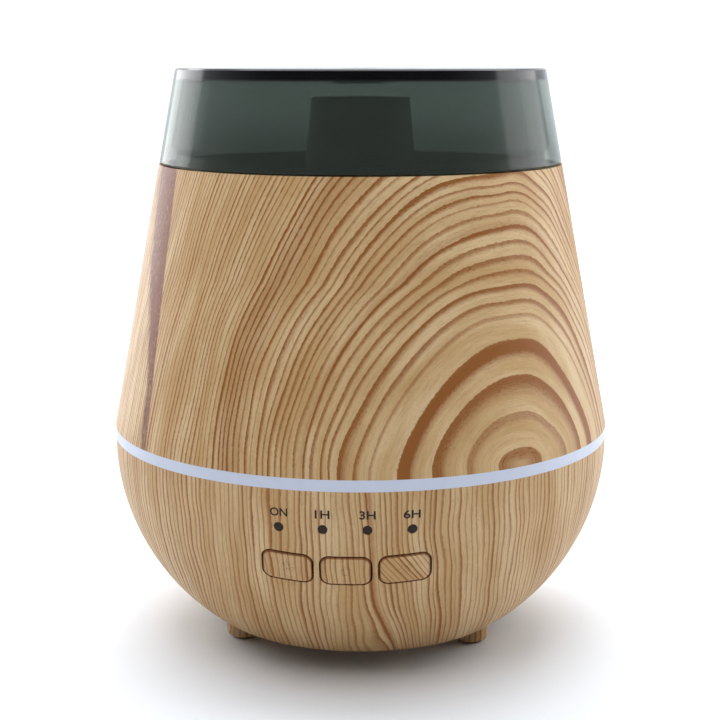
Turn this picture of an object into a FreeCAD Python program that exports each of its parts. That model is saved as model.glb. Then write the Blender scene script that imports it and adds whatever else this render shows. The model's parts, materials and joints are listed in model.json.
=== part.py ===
import FreeCAD, Part
import math
import os
import re

import Sketcher

# Ultrasonic aroma diffuser. The frame stands on the table: the origin is the middle of the footprint,
# +Z is up, and the control panel faces -Y. Lengths are in millimetres.

# ---------------------------------------------------------------- driving dimensions
SIZES = {
    # outside form
    "body_radius": 70.0,         # widest radius, at the light ring
    "ring_bottom": 57.5,         # height of the joint between lower shell and light ring
    "ring_height": 3.0,
    "shell_height": 72.7,        # of the upper shell, above the light ring
    "crown_height": 25.8,        # from the upper shell's top edge to the crown's top
    "crown_top_radius": 51.0,
    "base_edge_radius": 43.3,    # where the bowl meets the underside
    "foot_height": 5.5,
    "bowl_drop": 1.0,            # the bowl's arc is centred this far below the light ring
    # walls and clearances
    "shell_wall": 2.2,
    "crown_wall": 2.5,
    "plate_wall": 2.8,           # the crown's top plate
    "tank_wall": 2.2,
    "guard_wall": 1.6,           # inner cover
    "duct_wall": 1.6,
    "shadow_gap": 0.35,          # between crown and upper shell
    "push_gap": 0.15,            # push-in joints
    "slide_gap": 0.4,            # round the buttons
    "screw_gap": 0.05,           # between a screw and its hole
    "edge_break": 0.4,
    "over_cut": 1.0,             # a cutter's reach past the surface that it opens
    "overlap": 0.5,              # how far a foot or a stem is sunk into what it is fused to
    # upper cover
    "spigot_height": 5.2,
    "spigot_wall": 2.05,
    "ledge_width": 2.4,
    "ledge_height": 1.8,
    "outlet_radius": 5.5,        # mist outlet
    "collar_radius": 7.9,
    "collar_drop": 1.4,
    # inner cover
    "guard_flange_radius": 64.0,
    "guard_skirt": 5.0,
    "guard_dome_rise": 16.0,
    "guard_shoulder": 4.0,       # from the rim to the foot of the dome
    "chimney_top_radius": 13.6,
    "chimney_foot_radius": 20.6,
    "chimney_gap": 3.8,          # below the outlet collar
    # tank
    "tank_floor_radius": 46.0,
    "tank_rim_radius": 60.0,
    "tank_rim_height": 5.5,      # above the light ring
    "tank_flange_radius": 66.5,
    "tank_flange_height": 2.2,
    "gasket_height": 0.8,
    "gasket_inset": 0.4,
    "sump_radius": 13.0,
    "sump_depth": 2.0,
    "window_radius": 8.0,        # hole over the transducer
    "riser_length": 20.0,        # air riser, along Y
    "riser_width": 11.5,         # along X
    "riser_x": -38.75,
    "riser_drop": 2.0,           # the riser ends this far under the ring's top
    "riser_corner": 3.0,
    "riser_bore_corner": 1.5,
    "mark_length": 12.0,         # fill mark on the riser's side
    "mark_size": 0.8,
    "mark_drop": 6.0,            # below the riser's top
    "boss_circle": 36.0,
    "boss_radius": 3.5,
    "boss_rim": 0.8,             # round the heads of the retainer's screws
    # light ring
    "ring_inner_radius": 62.5,
    "ring_spigot_height": 3.0,
    "ring_spigot_wall": 2.3,
    # bottom cover
    "base_lip": 1.0,             # of the lower shell, round the bottom cover
    "shell_flange_radius": 40.0, # inner radius of the flange that the bottom cover clamps
    "shell_flange_height": 2.0,
    "foot_circle": 37.0,
    "foot_radius": 5.0,
    "foot_round": 1.2,
    "pad_radius": 3.6,
    "pad_height": 1.2,
    "pad_proud": 0.4,
    "grille_inner": 5.0,
    "grille_slot": 1.8,
    # screws: pan heads and plain shanks
    "screw_radius": 1.45,
    "screw_head_radius": 2.9,
    "screw_head": 1.1,
    "base_screw_length": 11.0,
    "small_screw_radius": 1.0,
    "small_head_radius": 2.0,
    "small_head": 1.2,
    # fan
    "fan_size": 40.0,
    "fan_depth": 10.0,
    "fan_rim": 1.0,              # between the fan's bore and its outside
    "fan_hole_inset": 4.0,       # screw holes in from the fan's sides
    "fan_standoff": 2.5,
    "fan_corner": 3.0,
    "fan_post_radius": 2.8,
    "fan_web": 1.2,              # hub plate, struts and rotor cup
    "fan_strut_width": 2.0,
    "fan_hub_radius": 9.0,
    "shaft_radius": 1.0,
    "shaft_gap": 0.03,           # running gap in the bush
    "shaft_lift": 0.4,
    "bush_radius": 2.2,
    "bush_gap": 4.2,             # bush shorter than the fan is deep
    "stator_radius": 4.2,
    "stator_bore": 2.25,
    "stator_height": 4.0,
    "stator_lift": 0.9,
    "tooth_size": 3.0,
    "tooth_length": 3.4,
    "tooth_inner": 3.6,
    "rotor_gap": 0.6,            # under the rotor cup
    "rotor_drop": 0.8,           # rotor cup below the frame's top
    "blade_chord": 8.0,
    "blade_thickness": 0.9,
    "blade_gap": 0.7,
    "board_gap": 2.45,           # between the main board and the fan
    "duct_height": 5.0,
    "duct_side_drop": 6.0,       # the side channel reaches this far below the hood
    "duct_clear": 0.8,           # between the side channel and the fan; also the bridge's floor
    "duct_bridge_length": 4.0,
    "duct_bridge_reach": 14.0,   # length of the bridge's hollow
    # transducer
    "stack_gap": 0.8,            # between the fan duct and the retainer's screws
    "retainer_plate": 1.5,
    "retainer_radius": 22.0,
    "retainer_circle": 19.0,
    "seal_height": 3.5,
    "seal_radius": 12.5,
    "disc_radius": 10.0,
    "disc_height": 1.2,
    # control panel
    "button_drop": 21.5,         # button centres below the light ring
    "button_space": 2.16,        # between neighbouring buttons
    "button_width": 12.6,
    "button_height": 8.2,
    "button_corner": 2.3,
    "button_proud": 0.3,
    "prism_inner": 10.0,         # the caps' cutters run from here inside the bowl
    "prism_outer": 6.0,          # to here outside it
    "window_inner": 8.0,         # and those of the windows from here
    "indicator_drop": 9.9,       # indicator dots below the light ring
    "indicator_pitch": 11.07,
    "indicator_radius": 1.1,
    "indicator_sink": 0.15,      # lens faces below the film
    "indicator_led_length": 2.0,
    "indicator_led_width": 1.3,
    "indicator_led_height": 0.8,
    "pipe_bar_width": 2.0,
    "pipe_bar_height": 1.2,
    "pipe_bar_lift": 0.4,
    "pipe_bar_end": 3.0,         # bar longer than the row of dots
    "panel_reach": 14.0,         # rods, posts and cutters of the panel, cut off by the bowl
    "board_depth": 10.0,         # control board behind the panel's surface
    "board_wall": 1.2,
    "control_width": 42.0,
    "control_above": 15.0,
    "control_below": 8.0,
    "control_screw_inset": 3.0,  # from the board's ends
    "control_screw_rise": 2.4,   # from its lower edge
    "control_screw_grip": 3.0,
    "control_post_rim": 0.4,
    "switch_size": 6.0,
    "switch_height": 3.5,
    "switch_floor": 1.0,
    "switch_gap": 0.1,
    "plunger_radius": 1.65,
    "plunger_height": 1.5,
    "stem_radius": 1.9,
    "stem_sink": 0.6,
    # main board
    "main_length": 56.0,
    "main_width": 21.5,
    "main_y": -21.2,
    "main_standoff": 4.8,
    "main_wall": 1.6,
    "main_screw_inset": 4.0,     # from the board's ends
    "main_screw_grip": 3.5,
    "post_radius": 2.8,
    "coil_radius": 5.5,
    "coil_bore": 2.4,
    "coil_height": 6.0,
    "capacitor_radius": 4.0,
    "capacitor_height": 9.0,
    "chip_length": 6.0,
    "chip_width": 5.0,
    "chip_height": 1.6,
    "sink_length": 12.0,
    "sink_fin": 1.2,
    "sink_pitch": 2.4,
    "sink_height": 8.0,
    "transistor_length": 10.0,
    "transistor_width": 3.0,
    # light board
    "light_outer_gap": 1.4,      # between the light board and the lower shell
    "light_width": 5.4,
    "light_drop": 8.5,           # below the light ring
    "light_gap_angle": 50.0,     # open at the front, for the control board
    "led_size": 5.0,
    "led_height": 1.6,
    "rib_width": 2.0,
    "rib_height": 3.0,
    "rib_inset": 1.0,            # of the ribs' ends under the light board
    # power socket, at the rear
    "socket_z": 16.5,
    "socket_bore_radius": 2.85,
    "socket_barrel_radius": 3.9,
    "socket_width": 9.0,
    "socket_length": 12.0,
    "socket_pin_radius": 1.05,
    "socket_back": 2.0,          # closed end of the socket
    "pin_short": 1.5,            # pin shorter than the bore
    "shelf_wall": 1.6,
    "shelf_side": 1.5,           # shelf wider than the socket, each side
    "shelf_short": 2.0,
    "pocket_radius": 5.5,
    "pocket_wall": 1.8,
    "pocket_depth": 2.4,         # at the pocket's shallow lower edge
    # connectors and leads
    "connector_length": 6.0,
    "connector_width": 4.5,
    "connector_height": 3.0,
    "lead_diameter": 1.1,
}
FRONT = -90.0                    # direction of the control panel about Z, in degrees
SCREW_ANGLES = (FRONT, FRONT + 120, FRONT + 240)
FOOT_ANGLES = {"left": FRONT - 60, "right": FRONT + 60, "rear": FRONT + 180}
BUTTONS = {"light_button": -1, "power_button": 0, "mist_button": 1}
RING_LEDS = 12
BLADE_LEAN = 38.0                # of the fan's blades, in degrees
FAN_BLADES = 7
GRILLE_SLOTS = 18

doc = FreeCAD.newDocument("aroma_diffuser")
sheet = doc.addObject("Spreadsheet::Sheet", "Sizes")
for row, (alias, number) in enumerate(SIZES.items(), start=1):
    sheet.set(f"A{row}", alias)
    sheet.set(f"B{row}", str(number))
    sheet.setAlias(f"B{row}", alias)
doc.recompute()


# ---------------------------------------------------------------- expressions
def linked(text):
    """The expression with each size's word turned into a reference to its cell."""
    def reference(match):
        word = match.group()
        return f"Sizes.{word}" if word in SIZES else word
    return re.sub(r"[a-z]\w*", reference, text)


def value(text):
    """The number that an expression comes to now."""
    found = sheet.evalExpression(linked(text))
    return float(getattr(found, "Value", found))


def bind(target, bindings):
    """Ties properties of an object to expressions in the sizes."""
    for prop, text in bindings.items():
        target.setExpression(prop, linked(text))


def place(target, x="0", y="0", z="0", turn=0.0, about=(0, 0, 1)):
    """Puts an object at x, y, z, turned about an axis through its own origin."""
    rotation = FreeCAD.Rotation(FreeCAD.Vector(*about), turn)
    target.Placement = FreeCAD.Placement(FreeCAD.Vector(), rotation)
    bind(target, {"Placement.Base.x": x, "Placement.Base.y": y, "Placement.Base.z": z})
    return target


# heights and radii that follow from the sizes
RING_TOP = "(ring_bottom + ring_height)"
BOWL_Z = "(ring_bottom - bowl_drop)"
BOWL_RISE = f"({BOWL_Z} - foot_height)"
BOWL_REACH = "(body_radius - base_edge_radius)"
BOWL_ARC = f"(({BOWL_REACH}^2 + {BOWL_RISE}^2) / (2 * {BOWL_REACH}))"
SHELL_TOP = f"({RING_TOP} + shell_height)"
CROWN_TOP = f"({SHELL_TOP} + crown_height)"
CROWN_BOTTOM = f"({SHELL_TOP} + shadow_gap)"
PLATE_BOTTOM = f"({CROWN_TOP} - plate_wall)"
SPIGOT_BOTTOM = f"({SHELL_TOP} - spigot_height)"
TANK_RIM = f"({RING_TOP} + tank_rim_height)"
COVER_TOP = "(foot_height + shell_wall)"
FAN_BOTTOM = f"({COVER_TOP} + fan_standoff)"
FAN_TOP = f"({FAN_BOTTOM} + fan_depth)"
DUCT_TOP = f"({FAN_TOP} + duct_height)"
RETAINER_Z = f"({DUCT_TOP} + stack_gap + small_head)"
SEAL_Z = f"({RETAINER_Z} + retainer_plate)"
SUMP_Z = f"({SEAL_Z} + seal_height)"
FLOOR_Z = f"({SUMP_Z} + tank_wall + sump_depth)"
FLOOR_UNDER = f"({FLOOR_Z} - tank_wall)"
CHIMNEY_TOP = f"({PLATE_BOTTOM} - collar_drop - chimney_gap)"
FAN_Y = "(main_y + main_width / 2 + board_gap + fan_size / 2)"
FAN_BORE = "(fan_size / 2 - fan_rim)"
FAN_PITCH = "(fan_size - 2 * fan_hole_inset)"
GRILLE_OUTER = f"({FAN_BORE} - 2)"
MAIN_Z = f"({COVER_TOP} + main_standoff)"
MAIN_TOP = f"({MAIN_Z} + main_wall)"
LIGHT_Z = "(ring_bottom - light_drop)"
BUTTON_Z = "(ring_bottom - button_drop)"
INDICATOR_Z = "(ring_bottom - indicator_drop)"
BUTTON_PITCH = "(button_width + button_space)"
SWITCH_TOP = "(switch_height - board_depth)"
CONTROL_SCREW_X = "(control_width / 2 - control_screw_inset)"
CONTROL_SCREW_Y = "(control_screw_rise - control_below)"
MAIN_SCREW_X = "(main_length / 2 - main_screw_inset)"


def cone_radius(z):
    """Outer radius of the straight cone of upper shell and crown at a height."""
    taper = "(body_radius - crown_top_radius) / (shell_height + crown_height)"
    return f"(body_radius - {taper} * ({z} - {RING_TOP}))"


def bowl_radius(z, inset="0"):
    """Radius of the bowl's arc at a height, moved inwards by an inset."""
    return f"(body_radius - {BOWL_ARC} + sqrt(({BOWL_ARC} - {inset})^2 - ({BOWL_Z} - {z})^2))"


# ---------------------------------------------------------------- sketches and bodies
def outline(sketch, points):
    """Closes an outline through points (x, y) or (x, y, radius): a radius bends the edge that follows.

    A positive radius turns anticlockwise, a negative one clockwise. Every point is tied to its
    expressions, and every arc to its radius.
    """
    spots = [FreeCAD.Vector(value(p[0]), value(p[1]), 0) for p in points]
    starts, ends = [], []
    for i, point in enumerate(points):
        a, b = spots[i], spots[(i + 1) % len(spots)]
        if len(point) == 2:
            edge = sketch.addGeometry(Part.LineSegment(a, b))
            starts.append((edge, 1))
            ends.append((edge, 2))
            continue
        radius = value(point[2])
        half = (b - a) * 0.5
        side = FreeCAD.Vector(-half.y, half.x, 0).normalize()
        reach = math.sqrt(max(radius * radius - half.Length ** 2, 0.0))
        centre = a + half + side * math.copysign(reach, radius)
        circle = Part.Circle(centre, FreeCAD.Vector(0, 0, 1), abs(radius))
        first, last = (a, b) if radius > 0 else (b, a)
        turn = [math.atan2(p.y - centre.y, p.x - centre.x) for p in (first, last)]
        edge = sketch.addGeometry(Part.ArcOfCircle(circle, turn[0], turn[1]))
        starts.append((edge, 1 if radius > 0 else 2))
        ends.append((edge, 2 if radius > 0 else 1))
    for i, point in enumerate(points):
        sketch.addConstraint(Sketcher.Constraint("Coincident", *ends[i - 1], *starts[i]))
        ties = [("DistanceX", point[0], spots[i].x), ("DistanceY", point[1], spots[i].y)]
        for kind, text, now in ties:
            tie = sketch.addConstraint(Sketcher.Constraint(kind, -1, 1, *starts[i], now))
            sketch.renameConstraint(tie, f"{kind}{i}")
            sketch.setExpression(f"Constraints.{kind}{i}", linked(text))
        if len(point) == 3:
            tie = sketch.addConstraint(Sketcher.Constraint("Radius", starts[i][0], abs(value(point[2]))))
            sketch.renameConstraint(tie, f"Radius{i}")
            sketch.setExpression(f"Constraints.Radius{i}", linked(f"abs({point[2]})"))


def sketched(name, plane, points):
    """A body with one closed outline on one of its own origin planes."""
    body = doc.addObject("PartDesign::Body", name)
    sketch = body.newObject("Sketcher::SketchObject", f"{name}_outline")
    support = next(f for f in body.Origin.OriginFeatures if f.Role == plane)
    sketch.AttachmentSupport = [(support, "")]
    sketch.MapMode = "FlatFace"
    outline(sketch, points)
    return body, sketch


def turned(name, points):
    """A body of revolution about Z from an outline of (radius, height) points."""
    body, sketch = sketched(name, "XZ_Plane", points)
    turn = body.newObject("PartDesign::Revolution", f"{name}_turn")
    turn.Profile = sketch
    turn.ReferenceAxis = (sketch, ["V_Axis"])
    turn.Angle = 360
    return body


def padded(name, points, height):
    """A body that stands on its outline in the XY plane."""
    body, sketch = sketched(name, "XY_Plane", points)
    pad = body.newObject("PartDesign::Pad", f"{name}_pad")
    pad.Profile = sketch
    bind(pad, {"Length": height})
    return body


def rounded(body, radius, wanted):
    """Rounds the edges of a body's last feature whose middle point and edge pass the wanted test."""
    doc.recompute()
    base = body.Tip
    names = [f"Edge{i}" for i, edge in enumerate(base.Shape.Edges, start=1)
             if wanted(edge.valueAt((edge.FirstParameter + edge.LastParameter) / 2), edge)]
    fillet = body.newObject("PartDesign::Fillet", f"{body.Name}_round")
    fillet.Base = (base, names)
    bind(fillet, {"Radius": radius})
    return body


def rounded_rectangle(width, height, corner):
    """Outline points of a rectangle with round corners, centred on the origin."""
    x, y = f"(({width}) / 2)", f"(({height}) / 2)"
    xi, yi = f"({x} - ({corner}))", f"({y} - ({corner}))"
    return [(xi, f"-{y}", corner), (x, f"-{yi}"), (x, yi, corner), (xi, y),
            (f"-{xi}", y, corner), (f"-{x}", yi), (f"-{x}", f"-{yi}", corner), (f"-{xi}", f"-{y}")]


# ---------------------------------------------------------------- primitives and booleans
def cylinder(name, radius, height, x="0", y="0", z="0", turn=0.0, about=(0, 0, 1)):
    made = doc.addObject("Part::Cylinder", name)
    bind(made, {"Radius": radius, "Height": height})
    return place(made, x, y, z, turn, about)


def box(name, length, width, height, x="0", y="0", z="0"):
    """A box centred on x and y that stands on z."""
    made = doc.addObject("Part::Box", name)
    bind(made, {"Length": length, "Width": width, "Height": height})
    return place(made, f"{x} - ({length}) / 2", f"{y} - ({width}) / 2", z)


def spoke_box(name, length, width, height, inner, z, angle, centre=("0", "0")):
    """A box that points outwards from a centre at an angle about Z and starts at an inner radius."""
    made = doc.addObject("Part::Box", name)
    bind(made, {"Length": length, "Width": width, "Height": height})
    c, s = f"{math.cos(math.radians(angle)):.9f}", f"{math.sin(math.radians(angle)):.9f}"
    return place(made, f"{centre[0]} + ({inner}) * {c} + ({width}) / 2 * {s}",
                 f"{centre[1]} + ({inner}) * {s} - ({width}) / 2 * {c}", z, angle)


def polar(radius, angle, centre=("0", "0")):
    """The x and y expressions of a point on a circle."""
    c, s = math.cos(math.radians(angle)), math.sin(math.radians(angle))
    return f"{centre[0]} + ({radius}) * {c:.9f}", f"{centre[1]} + ({radius}) * {s:.9f}"


def fuse(name, *pieces):
    made = doc.addObject("Part::MultiFuse", name)
    made.Shapes = list(pieces)
    return made


def cut(name, base, *tools):
    made = doc.addObject("Part::Cut", name)
    made.Base = base
    made.Tool = tools[0] if len(tools) == 1 else fuse(f"{name}_tools", *tools)
    return made


def common(name, first, second):
    made = doc.addObject("Part::Common", name)
    made.Base = first
    made.Tool = second
    return made


def group(name, pieces):
    made = doc.addObject("Part::Compound", name)
    made.Links = list(pieces)
    return made


def tube(name, outer, inner, height, x="0", y="0", z="0"):
    return cut(name, cylinder(f"{name}_outer", outer, height, x, y, z),
               cylinder(f"{name}_bore", inner, height, x, y, z))


def screw(name, radius, head_radius, head, length, x, y, z, heads_up=True):
    """A pan-head screw: z is where the underside of its head seats."""
    if heads_up:
        return fuse(name, cylinder(f"{name}_head", head_radius, head, x, y, z),
                    cylinder(f"{name}_shank", radius, length, x, y, f"{z} - ({length})"))
    return fuse(name, cylinder(f"{name}_head", head_radius, head, x, y, f"{z} - ({head})"),
                cylinder(f"{name}_shank", radius, length, x, y, z))


NODES = []


def node(made, label):
    """Marks an object as one of the finished pieces and gives it the name of its file."""
    made.Label = label
    NODES.append(made)
    return made


# ---------------------------------------------------------------- upper cover
def make_upper_shell():
    """Straight cone, open below, with an inner ledge that carries the crown's spigot."""
    def inner(z):
        return f"({cone_radius(z)} - shell_wall)"
    ledge_bottom = f"({SPIGOT_BOTTOM} - ledge_height)"
    ledge_root = f"({ledge_bottom} - ledge_width)"
    shell = turned("upper_shell_body", [
        (cone_radius(RING_TOP), RING_TOP),
        (cone_radius(SHELL_TOP), SHELL_TOP),
        (inner(SHELL_TOP), SHELL_TOP),
        (inner(SPIGOT_BOTTOM), SPIGOT_BOTTOM),
        (f"{inner(SPIGOT_BOTTOM)} - ledge_width", SPIGOT_BOTTOM),
        (f"{inner(SPIGOT_BOTTOM)} - ledge_width", ledge_bottom),
        (inner(ledge_root), ledge_root),
        (inner(RING_TOP), RING_TOP),
    ])
    node(shell, "upper_shell")


def make_smoked_crown():
    """Translucent crown in one piece: cone wall, top plate with the outlet collar, and push-in spigot."""
    step = f"({CROWN_BOTTOM} + crown_wall)"

    def inner(z):
        return f"({cone_radius(z)} - crown_wall)"

    def spigot(z):
        return f"({cone_radius(z)} - shell_wall - push_gap)"
    crown = turned("smoked_crown_body", [
        ("outlet_radius", f"{PLATE_BOTTOM} - collar_drop"),
        ("collar_radius", f"{PLATE_BOTTOM} - collar_drop"),
        ("collar_radius", PLATE_BOTTOM),
        (inner(PLATE_BOTTOM), PLATE_BOTTOM),
        (inner(f"({step} + spigot_wall)"), f"{step} + spigot_wall"),
        (f"{spigot(step)} - spigot_wall", step),
        (f"{spigot(SPIGOT_BOTTOM)} - spigot_wall", SPIGOT_BOTTOM),
        (spigot(SPIGOT_BOTTOM), SPIGOT_BOTTOM),
        (spigot(CROWN_BOTTOM), CROWN_BOTTOM),
        (f"{cone_radius(CROWN_BOTTOM)} - edge_break", CROWN_BOTTOM),
        (cone_radius(f"({CROWN_BOTTOM} + edge_break)"), f"{CROWN_BOTTOM} + edge_break"),
        (cone_radius(f"({CROWN_TOP} - edge_break)"), f"{CROWN_TOP} - edge_break"),
        ("crown_top_radius - edge_break", CROWN_TOP),
        ("outlet_radius + edge_break", CROWN_TOP),
        ("outlet_radius", f"{CROWN_TOP} - edge_break"),
    ])
    node(crown, "smoked_crown")


# ---------------------------------------------------------------- inner cover
def make_inner_cover():
    """Splash guard that stands on the tank's rim: flange, skirt, dome and tapered mist chimney."""
    dome_foot = "(tank_rim_radius - guard_shoulder)"
    chimney_foot = f"({TANK_RIM} + guard_dome_rise)"
    skirt_outer = "(tank_rim_radius - slide_gap)"
    guard = turned("inner_cover_body", [
        ("chimney_top_radius", CHIMNEY_TOP),
        ("chimney_top_radius - guard_wall", CHIMNEY_TOP),
        ("chimney_foot_radius - guard_wall", f"{chimney_foot} - guard_wall"),
        (dome_foot, f"{TANK_RIM}"),
        (f"{skirt_outer} - guard_wall", f"{TANK_RIM}"),
        (f"{skirt_outer} - guard_wall", f"{TANK_RIM} - guard_skirt"),
        (skirt_outer, f"{TANK_RIM} - guard_skirt"),
        (skirt_outer, TANK_RIM),
        ("guard_flange_radius", TANK_RIM),
        ("guard_flange_radius", f"{TANK_RIM} + guard_wall"),
        (dome_foot, f"{TANK_RIM} + guard_wall"),
        ("chimney_foot_radius", chimney_foot),
    ])
    knee = value(chimney_foot)
    rounded(guard, "guard_dome_rise / 2", lambda at, edge: abs(at.z - knee) < 0.01)
    node(guard, "inner_cover")


# ---------------------------------------------------------------- tank
def air_riser_block(name):
    """The riser's outer shape, from under the tank's floor to just below the light ring's top."""
    block = padded(name, rounded_rectangle("riser_width", "riser_length", "riser_corner"),
                   f"({RING_TOP} - riser_drop - {FLOOR_UNDER})")
    place(block, "riser_x", "0", FLOOR_UNDER)
    return block


def make_air_riser():
    """Upright duct pressed into the tank's floor, with the fill mark on its inner side."""
    block = air_riser_block("riser_block")
    bore_outline = rounded_rectangle("riser_width - 2 * tank_wall", "riser_length - 2 * tank_wall",
                                     "riser_bore_corner")
    bore = padded("riser_bore", bore_outline,
                  f"({RING_TOP} - riser_drop - {FLOOR_UNDER}) + 2 * over_cut")
    place(bore, "riser_x", "0", f"{FLOOR_UNDER} - over_cut")
    mark = box("fill_mark", "mark_size", "mark_length", "mark_size",
               "riser_x + (riser_width + mark_size) / 2", "0", f"{RING_TOP} - riser_drop - mark_drop")
    node(cut("air_riser_cut", fuse("riser_solids", block, mark), bore), "air_riser")


def make_water_tank():
    """Tank with its sump, flange, three long screw bosses and the hole that the air riser fills."""
    flange_top = f"({RING_TOP} + gasket_height + tank_flange_height)"
    flange_under = f"({RING_TOP} + gasket_height)"
    rim_outer = "(tank_rim_radius + tank_wall)"
    sump_outer = "(sump_radius + 2 * tank_wall)"
    basin = turned("tank_basin", [
        ("window_radius", SUMP_Z),
        (sump_outer, SUMP_Z),
        (sump_outer, FLOOR_UNDER),
        ("tank_floor_radius + tank_wall", FLOOR_UNDER),
        (rim_outer, f"{flange_under} - tank_wall"),
        (rim_outer, flange_under),
        ("tank_flange_radius", flange_under),
        ("tank_flange_radius", flange_top),
        (rim_outer, flange_top),
        (rim_outer, TANK_RIM),
        ("tank_rim_radius", TANK_RIM),
        ("tank_rim_radius", RING_TOP),
        ("tank_floor_radius", FLOOR_Z),
        ("sump_radius + sump_depth", FLOOR_Z),
        ("sump_radius", f"{SUMP_Z} + tank_wall"),
        ("window_radius", f"{SUMP_Z} + tank_wall"),
    ])
    riser_hole = air_riser_block("tank_riser_hole")
    solids = [basin]
    holes = [riser_hole]
    for i, angle in enumerate(SCREW_ANGLES):
        x, y = polar("boss_circle", angle)
        solids.append(cylinder(f"tank_boss_{i}", "boss_radius", f"{FLOOR_UNDER} - {COVER_TOP}", x, y,
                               COVER_TOP))
        holes.append(cylinder(f"tank_boss_hole_{i}", "screw_radius + screw_gap",
                              "base_screw_length + over_cut",
                              x, y, COVER_TOP))
        x, y = polar("retainer_circle", angle + 60)
        solids.append(cylinder(f"retainer_boss_{i}", "small_head_radius + boss_rim",
                               f"{FLOOR_UNDER} - {SEAL_Z}",
                               x, y, SEAL_Z))
        holes.append(cylinder(f"retainer_hole_{i}", "small_screw_radius + screw_gap",
                              "seal_height + tank_wall / 2", x, y, SEAL_Z))
    node(cut("water_tank_cut", fuse("tank_solids", *solids), *holes), "water_tank")


def make_tank_gasket():
    """Flat silicone ring between the tank's flange and the light ring."""
    node(tube("tank_gasket_ring", "tank_flange_radius - gasket_inset", "ring_inner_radius + gasket_inset",
              "gasket_height",
              z=RING_TOP), "tank_gasket")


# ---------------------------------------------------------------- transducer
def make_transducer():
    """Piezo disc in its rubber ring, pressed against the sump by a screwed plate."""
    disc_z = f"({SEAL_Z} + (seal_height - disc_height) / 2)"
    node(cylinder("disc_plate", "disc_radius", "disc_height", z=disc_z), "transducer_disc")
    ring = cylinder("seal_ring", "seal_radius", "seal_height", z=SEAL_Z)
    groove = cylinder("seal_groove", "disc_radius", "disc_height", z=disc_z)
    eye = cylinder("seal_eye", "window_radius", "seal_height", z=SEAL_Z)
    node(cut("seal_cut", ring, groove, eye), "transducer_seal")
    plate = cylinder("retainer_disc", "retainer_radius", "retainer_plate", z=RETAINER_Z)
    holes = [cylinder("retainer_eye", "window_radius", "retainer_plate", z=RETAINER_Z)]
    screws = []
    for i, angle in enumerate(SCREW_ANGLES):
        x, y = polar("retainer_circle", angle + 60)
        holes.append(cylinder(f"retainer_eyelet_{i}", "small_screw_radius + screw_gap", "retainer_plate",
                              x, y, RETAINER_Z))
        screws.append(screw(f"retainer_screw_{i}", "small_screw_radius", "small_head_radius", "small_head",
                            "retainer_plate + seal_height", x, y, RETAINER_Z, heads_up=False))
    node(cut("retainer_cut", plate, *holes), "transducer_retainer")
    node(group("retainer_screw_set", screws), "transducer_screws")


# ---------------------------------------------------------------- light ring
def make_light_ring():
    """Milky diffuser ring, flush with both shells, with a spigot inside the lower shell."""
    spigot = "(body_radius - shell_wall - push_gap)"
    ring = turned("light_ring_body", [
        ("ring_inner_radius", "ring_bottom"),
        (f"{spigot} - ring_spigot_wall", "ring_bottom"),
        (f"{spigot} - ring_spigot_wall", "ring_bottom - ring_spigot_height"),
        (f"{spigot}", "ring_bottom - ring_spigot_height"),
        (f"{spigot}", "ring_bottom"),
        ("body_radius", "ring_bottom"),
        ("body_radius", RING_TOP),
        ("ring_inner_radius", RING_TOP),
    ])
    node(ring, "light_ring")


def light_board_radius():
    """Outer radius of the light board, clear of the lower shell's inner face."""
    return f"({bowl_radius(LIGHT_Z, 'shell_wall')} - light_outer_gap)"


def make_light_board():
    """Open ring of circuit board under the light ring, with its LEDs on top."""
    outer = light_board_radius()
    ring = tube("light_board_ring", outer, f"{outer} - light_width", "board_wall", z=LIGHT_Z)
    wedge = doc.addObject("Part::Cylinder", "light_board_opening")
    bind(wedge, {"Radius": "body_radius", "Height": "board_wall", "Angle": "light_gap_angle"})
    place(wedge, z=LIGHT_Z, turn=FRONT)
    bind(wedge, {"Placement.Rotation.Angle": f"{FRONT} - light_gap_angle / 2"})
    node(cut("light_board_cut", ring, wedge), "light_board")
    leds = []
    first = value("light_gap_angle") / 2 + 5
    for i in range(RING_LEDS):
        angle = FRONT + first + (360 - 2 * first) / (RING_LEDS - 1) * i
        leds.append(spoke_box(f"ring_led_{i}", "led_size", "led_size", "led_height",
                              f"{outer} - light_width / 2 - led_size / 2", f"{LIGHT_Z} + board_wall", angle))
    node(group("ring_led_set", leds), "ring_leds")


# ---------------------------------------------------------------- control panel
# Panel pieces are placed in a frame of their own: its origin is the middle button's centre on the
# bowl, x is to the right, y runs up the surface and z points straight out of it.
PANEL_TILT = f"(90 deg + asin(({BOWL_Z} - {BUTTON_Z}) / {BOWL_ARC}))"
PANEL_SIN = f"sqrt(1 - (({BOWL_Z} - {BUTTON_Z}) / {BOWL_ARC})^2)"
PANEL_COS = f"(({BUTTON_Z} - {BOWL_Z}) / {BOWL_ARC})"


def on_panel(made, x="0", y="0", z="0"):
    """Stands an object on the panel at x, y, z, with its own z axis along the panel's."""
    place(made, x, f"-{bowl_radius(BUTTON_Z)} + ({y}) * {PANEL_COS} - ({z}) * {PANEL_SIN}",
          f"{BUTTON_Z} + ({y}) * {PANEL_SIN} + ({z}) * {PANEL_COS}", 90, (1, 0, 0))
    bind(made, {"Placement.Rotation.Angle": PANEL_TILT})
    return made


def panel_box(name, length, width, height, x="0", y="0", z="0"):
    """A box on the panel, centred on x and y, that starts at depth z and grows outwards."""
    made = doc.addObject("Part::Box", name)
    bind(made, {"Length": length, "Width": width, "Height": height})
    return on_panel(made, f"{x} - ({length}) / 2", f"{y} - ({width}) / 2", z)


def panel_rod(name, radius, height, x="0", y="0", z="0"):
    made = doc.addObject("Part::Cylinder", name)
    bind(made, {"Radius": radius, "Height": height})
    return on_panel(made, x, y, z)


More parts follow.
